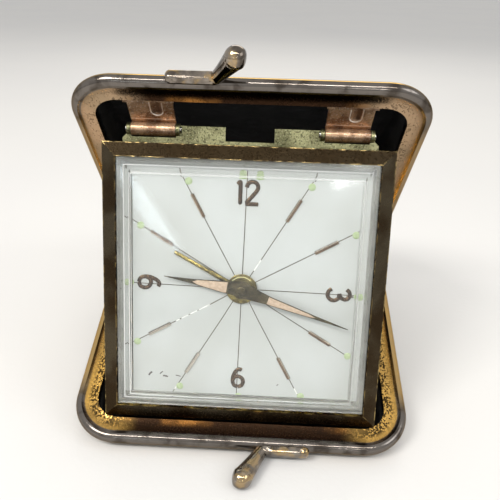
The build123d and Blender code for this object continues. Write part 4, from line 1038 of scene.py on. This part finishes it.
def pouchStitches(leather):  # one row of thread along the seam at each side
    look = threadLook
    mesh = leather.data
    tree = BVHTree.FromPolygons([v.co for v in mesh.vertices], [tuple(p.vertices) for p in mesh.polygons])
    form = Form("table")
    for side in (-1, 1):
        start = Vector((side * pouchFolds["seam"] * mm, hingeLine.y, hingeLine.z))
        travelled, last = 0.0, None
        for i in range(look["turns"]):
            turn = math.radians(look["firstTurn"] + i * look["turnStep"])
            out = Vector((0, math.cos(turn), math.sin(turn)))
            hit, normal, _, _ = tree.ray_cast(start + out * look["outside"] * mm, -out)
            if hit is None:
                continue
            travelled += (hit - last).length / mm if last else 0.0
            if last and travelled >= look["step"] and hit.z > look["lowest"] * mm:
                travelled = 0.0
                addStitch(form, hit / mm, (hit - last).normalized(), normal)
            last = hit
    stitches = form.build("pouchStitches", threadFinish(), None)
    bendAtHinge(stitches)


def addStitch(form, middle, along, normal):
    look = threadLook
    across = normal.cross(along).normalized()
    rows = []
    for i in range(look["rows"] + 1):
        share = i / look["rows"] * 2 - 1
        thick = look["width"] / 2 * math.sqrt(max(0.12, 1 - share**4))
        lift = look["lift"] - share**4 * look["sink"]
        row = []
        for k in range(look["around"]):
            turn = math.pi * (1 - k / (look["around"] - 1))
            out = across * (math.cos(turn) * thick) + normal * (math.sin(turn) * thick + lift)
            row.append(tuple(middle + along * (share * look["length"] / 2) + out))
        rows.append(row)
    form.loft(rows)


leatherHalves, liningHalves = ["front_leather", "rear_leather"], ["front_lining", "rear_lining"]
pouchStitches(softPiece("pouchLeather", leatherHalves, leatherFinish(), pouchLook["leatherVoxel"]))
softPiece("pouchLining", liningHalves, velvetFinish(), pouchLook["liningVoxel"])
print("pouch done")

# Floor, light and camera. Softboxes stand at metres from the origin; strips lie between two places of
# the clock's plane in millimetres.
studio = {
    "floor": (0.68, 0.675, 0.665), "floorCloud": (0.62, 0.62, 0.63), "floorReach": 3.0, "floorDrop": 0.0001,
    "worldLow": 0.30, "worldHigh": 0.75, "worldFront": 0.12, "worldTint": (1.0, 0.985, 0.965),
    "background": (0.86, 0.86, 0.85), "aim": (0, 0.01, 0.035),
    "key": {"place": (-0.34, -0.30, 0.52), "size": (0.22, 0.22), "power": 2.6, "colour": (1.0, 0.97, 0.92)},
    "fill": {"place": (0.50, -0.20, 0.40), "size": (0.35, 0.25), "power": 0.9, "colour": (0.92, 0.96, 1.0)},
    "back": {"place": (0.05, 0.55, 0.45), "size": (0.50, 0.20), "power": 1.1, "colour": (1.0, 0.95, 0.86)},
    "streak": {
        "first": (-144.2, 23.0, 383.3), "second": (-90.0, -59.1, 389.2), "aim": (-18.7, 16.0, 2.2),
        "width": 5.0, "power": 0.015, "colour": (0.80, 0.92, 1.0),
    },
    "glint": {
        "first": (83.7, 21.7, 396.6), "second": (122.8, 36.2, 389.5), "aim": (21.3, 24.6, 1.9),
        "width": 8.0, "power": 0.04, "colour": (1.0, 1.0, 1.0),
    },
    "rimLine": {
        "first": (-225.0, 250.0, 340.0), "second": (195.0, 250.0, 340.0), "aim": (0.0, 30.0, 0.0),
        "width": 12.0, "power": 0.8, "colour": (1.0, 0.97, 0.93),
    },
}


def floorPiece():
    finish = Finish("paleFloor", "table")
    cloud = finish.noise(0.006, 5)
    colour = finish.blend(cloud.above(0.4, 0.3) * 0.3, studio["floor"], studio["floorCloud"])
    material = finish.coated(colour, 0.5, finish.noise(0.8, 3) * 0.04, Specular_IOR_Level=0.3)
    mesh = bpy.data.meshes.new("floor")
    reach = studio["floorReach"]
    corners = [(-reach, -reach), (reach, -reach), (reach, reach), (-reach, reach)]
    mesh.from_pydata([(x, y, -studio["floorDrop"]) for x, y in corners], [], [(0, 1, 2, 3)])
    mesh.materials.append(material)
    addObject("floor", mesh)


def areaLamp(name, look, width, depth):
    data = bpy.data.lights.new(name, "AREA")
    data.shape = "RECTANGLE"
    data.size, data.size_y = width, depth
    data.energy = look["power"]
    data.color = look["colour"]
    return addObject(name, data)


def softbox(name, look):
    lamp = areaLamp(name, look, *look["size"])
    lamp.location = look["place"]
    aim = Vector(studio["aim"]) - lamp.location
    lamp.rotation_mode = "QUATERNION"
    lamp.rotation_quaternion = aim.to_track_quat("-Z", "Y")


def stripLamp(name, look):  # a narrow lamp whose reflection is seen in the crystal or along the rim
    places = [Vector(look[key]) * mm for key in ("first", "second", "aim")]
    first, second, aim = [planes["clock"] @ place for place in places]
    middle = (first + second) / 2
    back = (middle - aim).normalized()
    up = back.cross((second - first).normalized()).normalized()
    facing = Matrix((up.cross(back), up, back)).transposed().to_4x4()
    lamp = areaLamp(name, look, (second - first).length, look["width"] * mm)
    lamp.matrix_world = Matrix.Translation(middle) @ facing


def worldLight():
    world = bpy.data.worlds.new("studioWorld")
    bpy.context.scene.world = world
    build = Finish("studioWorld", world=world)
    _, y, z = build.parts(build.node("TexCoord"))  # its first output: Generated, the direction
    height = z.above(-0.2, 0.9)
    front = y.below(0.1, 0.9)
    light = studio["worldLow"] + height * (studio["worldHigh"] - studio["worldLow"])
    light = light - front * studio["worldFront"]
    seen = build.rays("Camera", "Glossy", "Transmission")
    shade = build.blend(seen, studio["worldTint"], studio["background"])
    strength = seen + (1 - seen) * light
    build.done(build.node("Background", None, {0: shade, 1: strength}), "World")


photoView = {  # solved from the photograph: lens in millimetres, turns in degrees, offset in millimetres
    "lens": 38.95, "sensor": 36.0, "pitch": 10.74, "yaw": 1.55, "roll": 2.36, "offset": (-1.4, 8.5, 115.1),
    "near": 0.005, "far": 20.0,
}


def photoCamera():
    view = photoView
    data = bpy.data.cameras.new("photoCamera")
    data.sensor_width = view["sensor"]
    data.lens = view["lens"]
    data.clip_start = view["near"]
    data.clip_end = view["far"]
    flip = Matrix.Diagonal((1, -1, -1, 1))
    turn = Matrix.Identity(4)
    for key, axis in (("roll", "Z"), ("yaw", "Y"), ("pitch", "X")):
        turn = turn @ Matrix.Rotation(math.radians(view[key]), 4, axis)
    shift = Matrix.Translation(Vector(view["offset"]) * mm)
    camera = addObject("photoCamera", data)
    camera.matrix_world = planes["clock"] @ (flip @ shift @ turn @ flip).inverted()
    bpy.context.scene.camera = camera


floorPiece()
for lampName in ("key", "fill", "back"):
    softbox(lampName, studio[lampName])
for lampName in ("streak", "glint", "rimLine"):
    stripLamp(lampName, studio[lampName])
worldLight()
photoCamera()
bpy.context.scene.view_settings.view_transform = "Standard"
print("studio done")
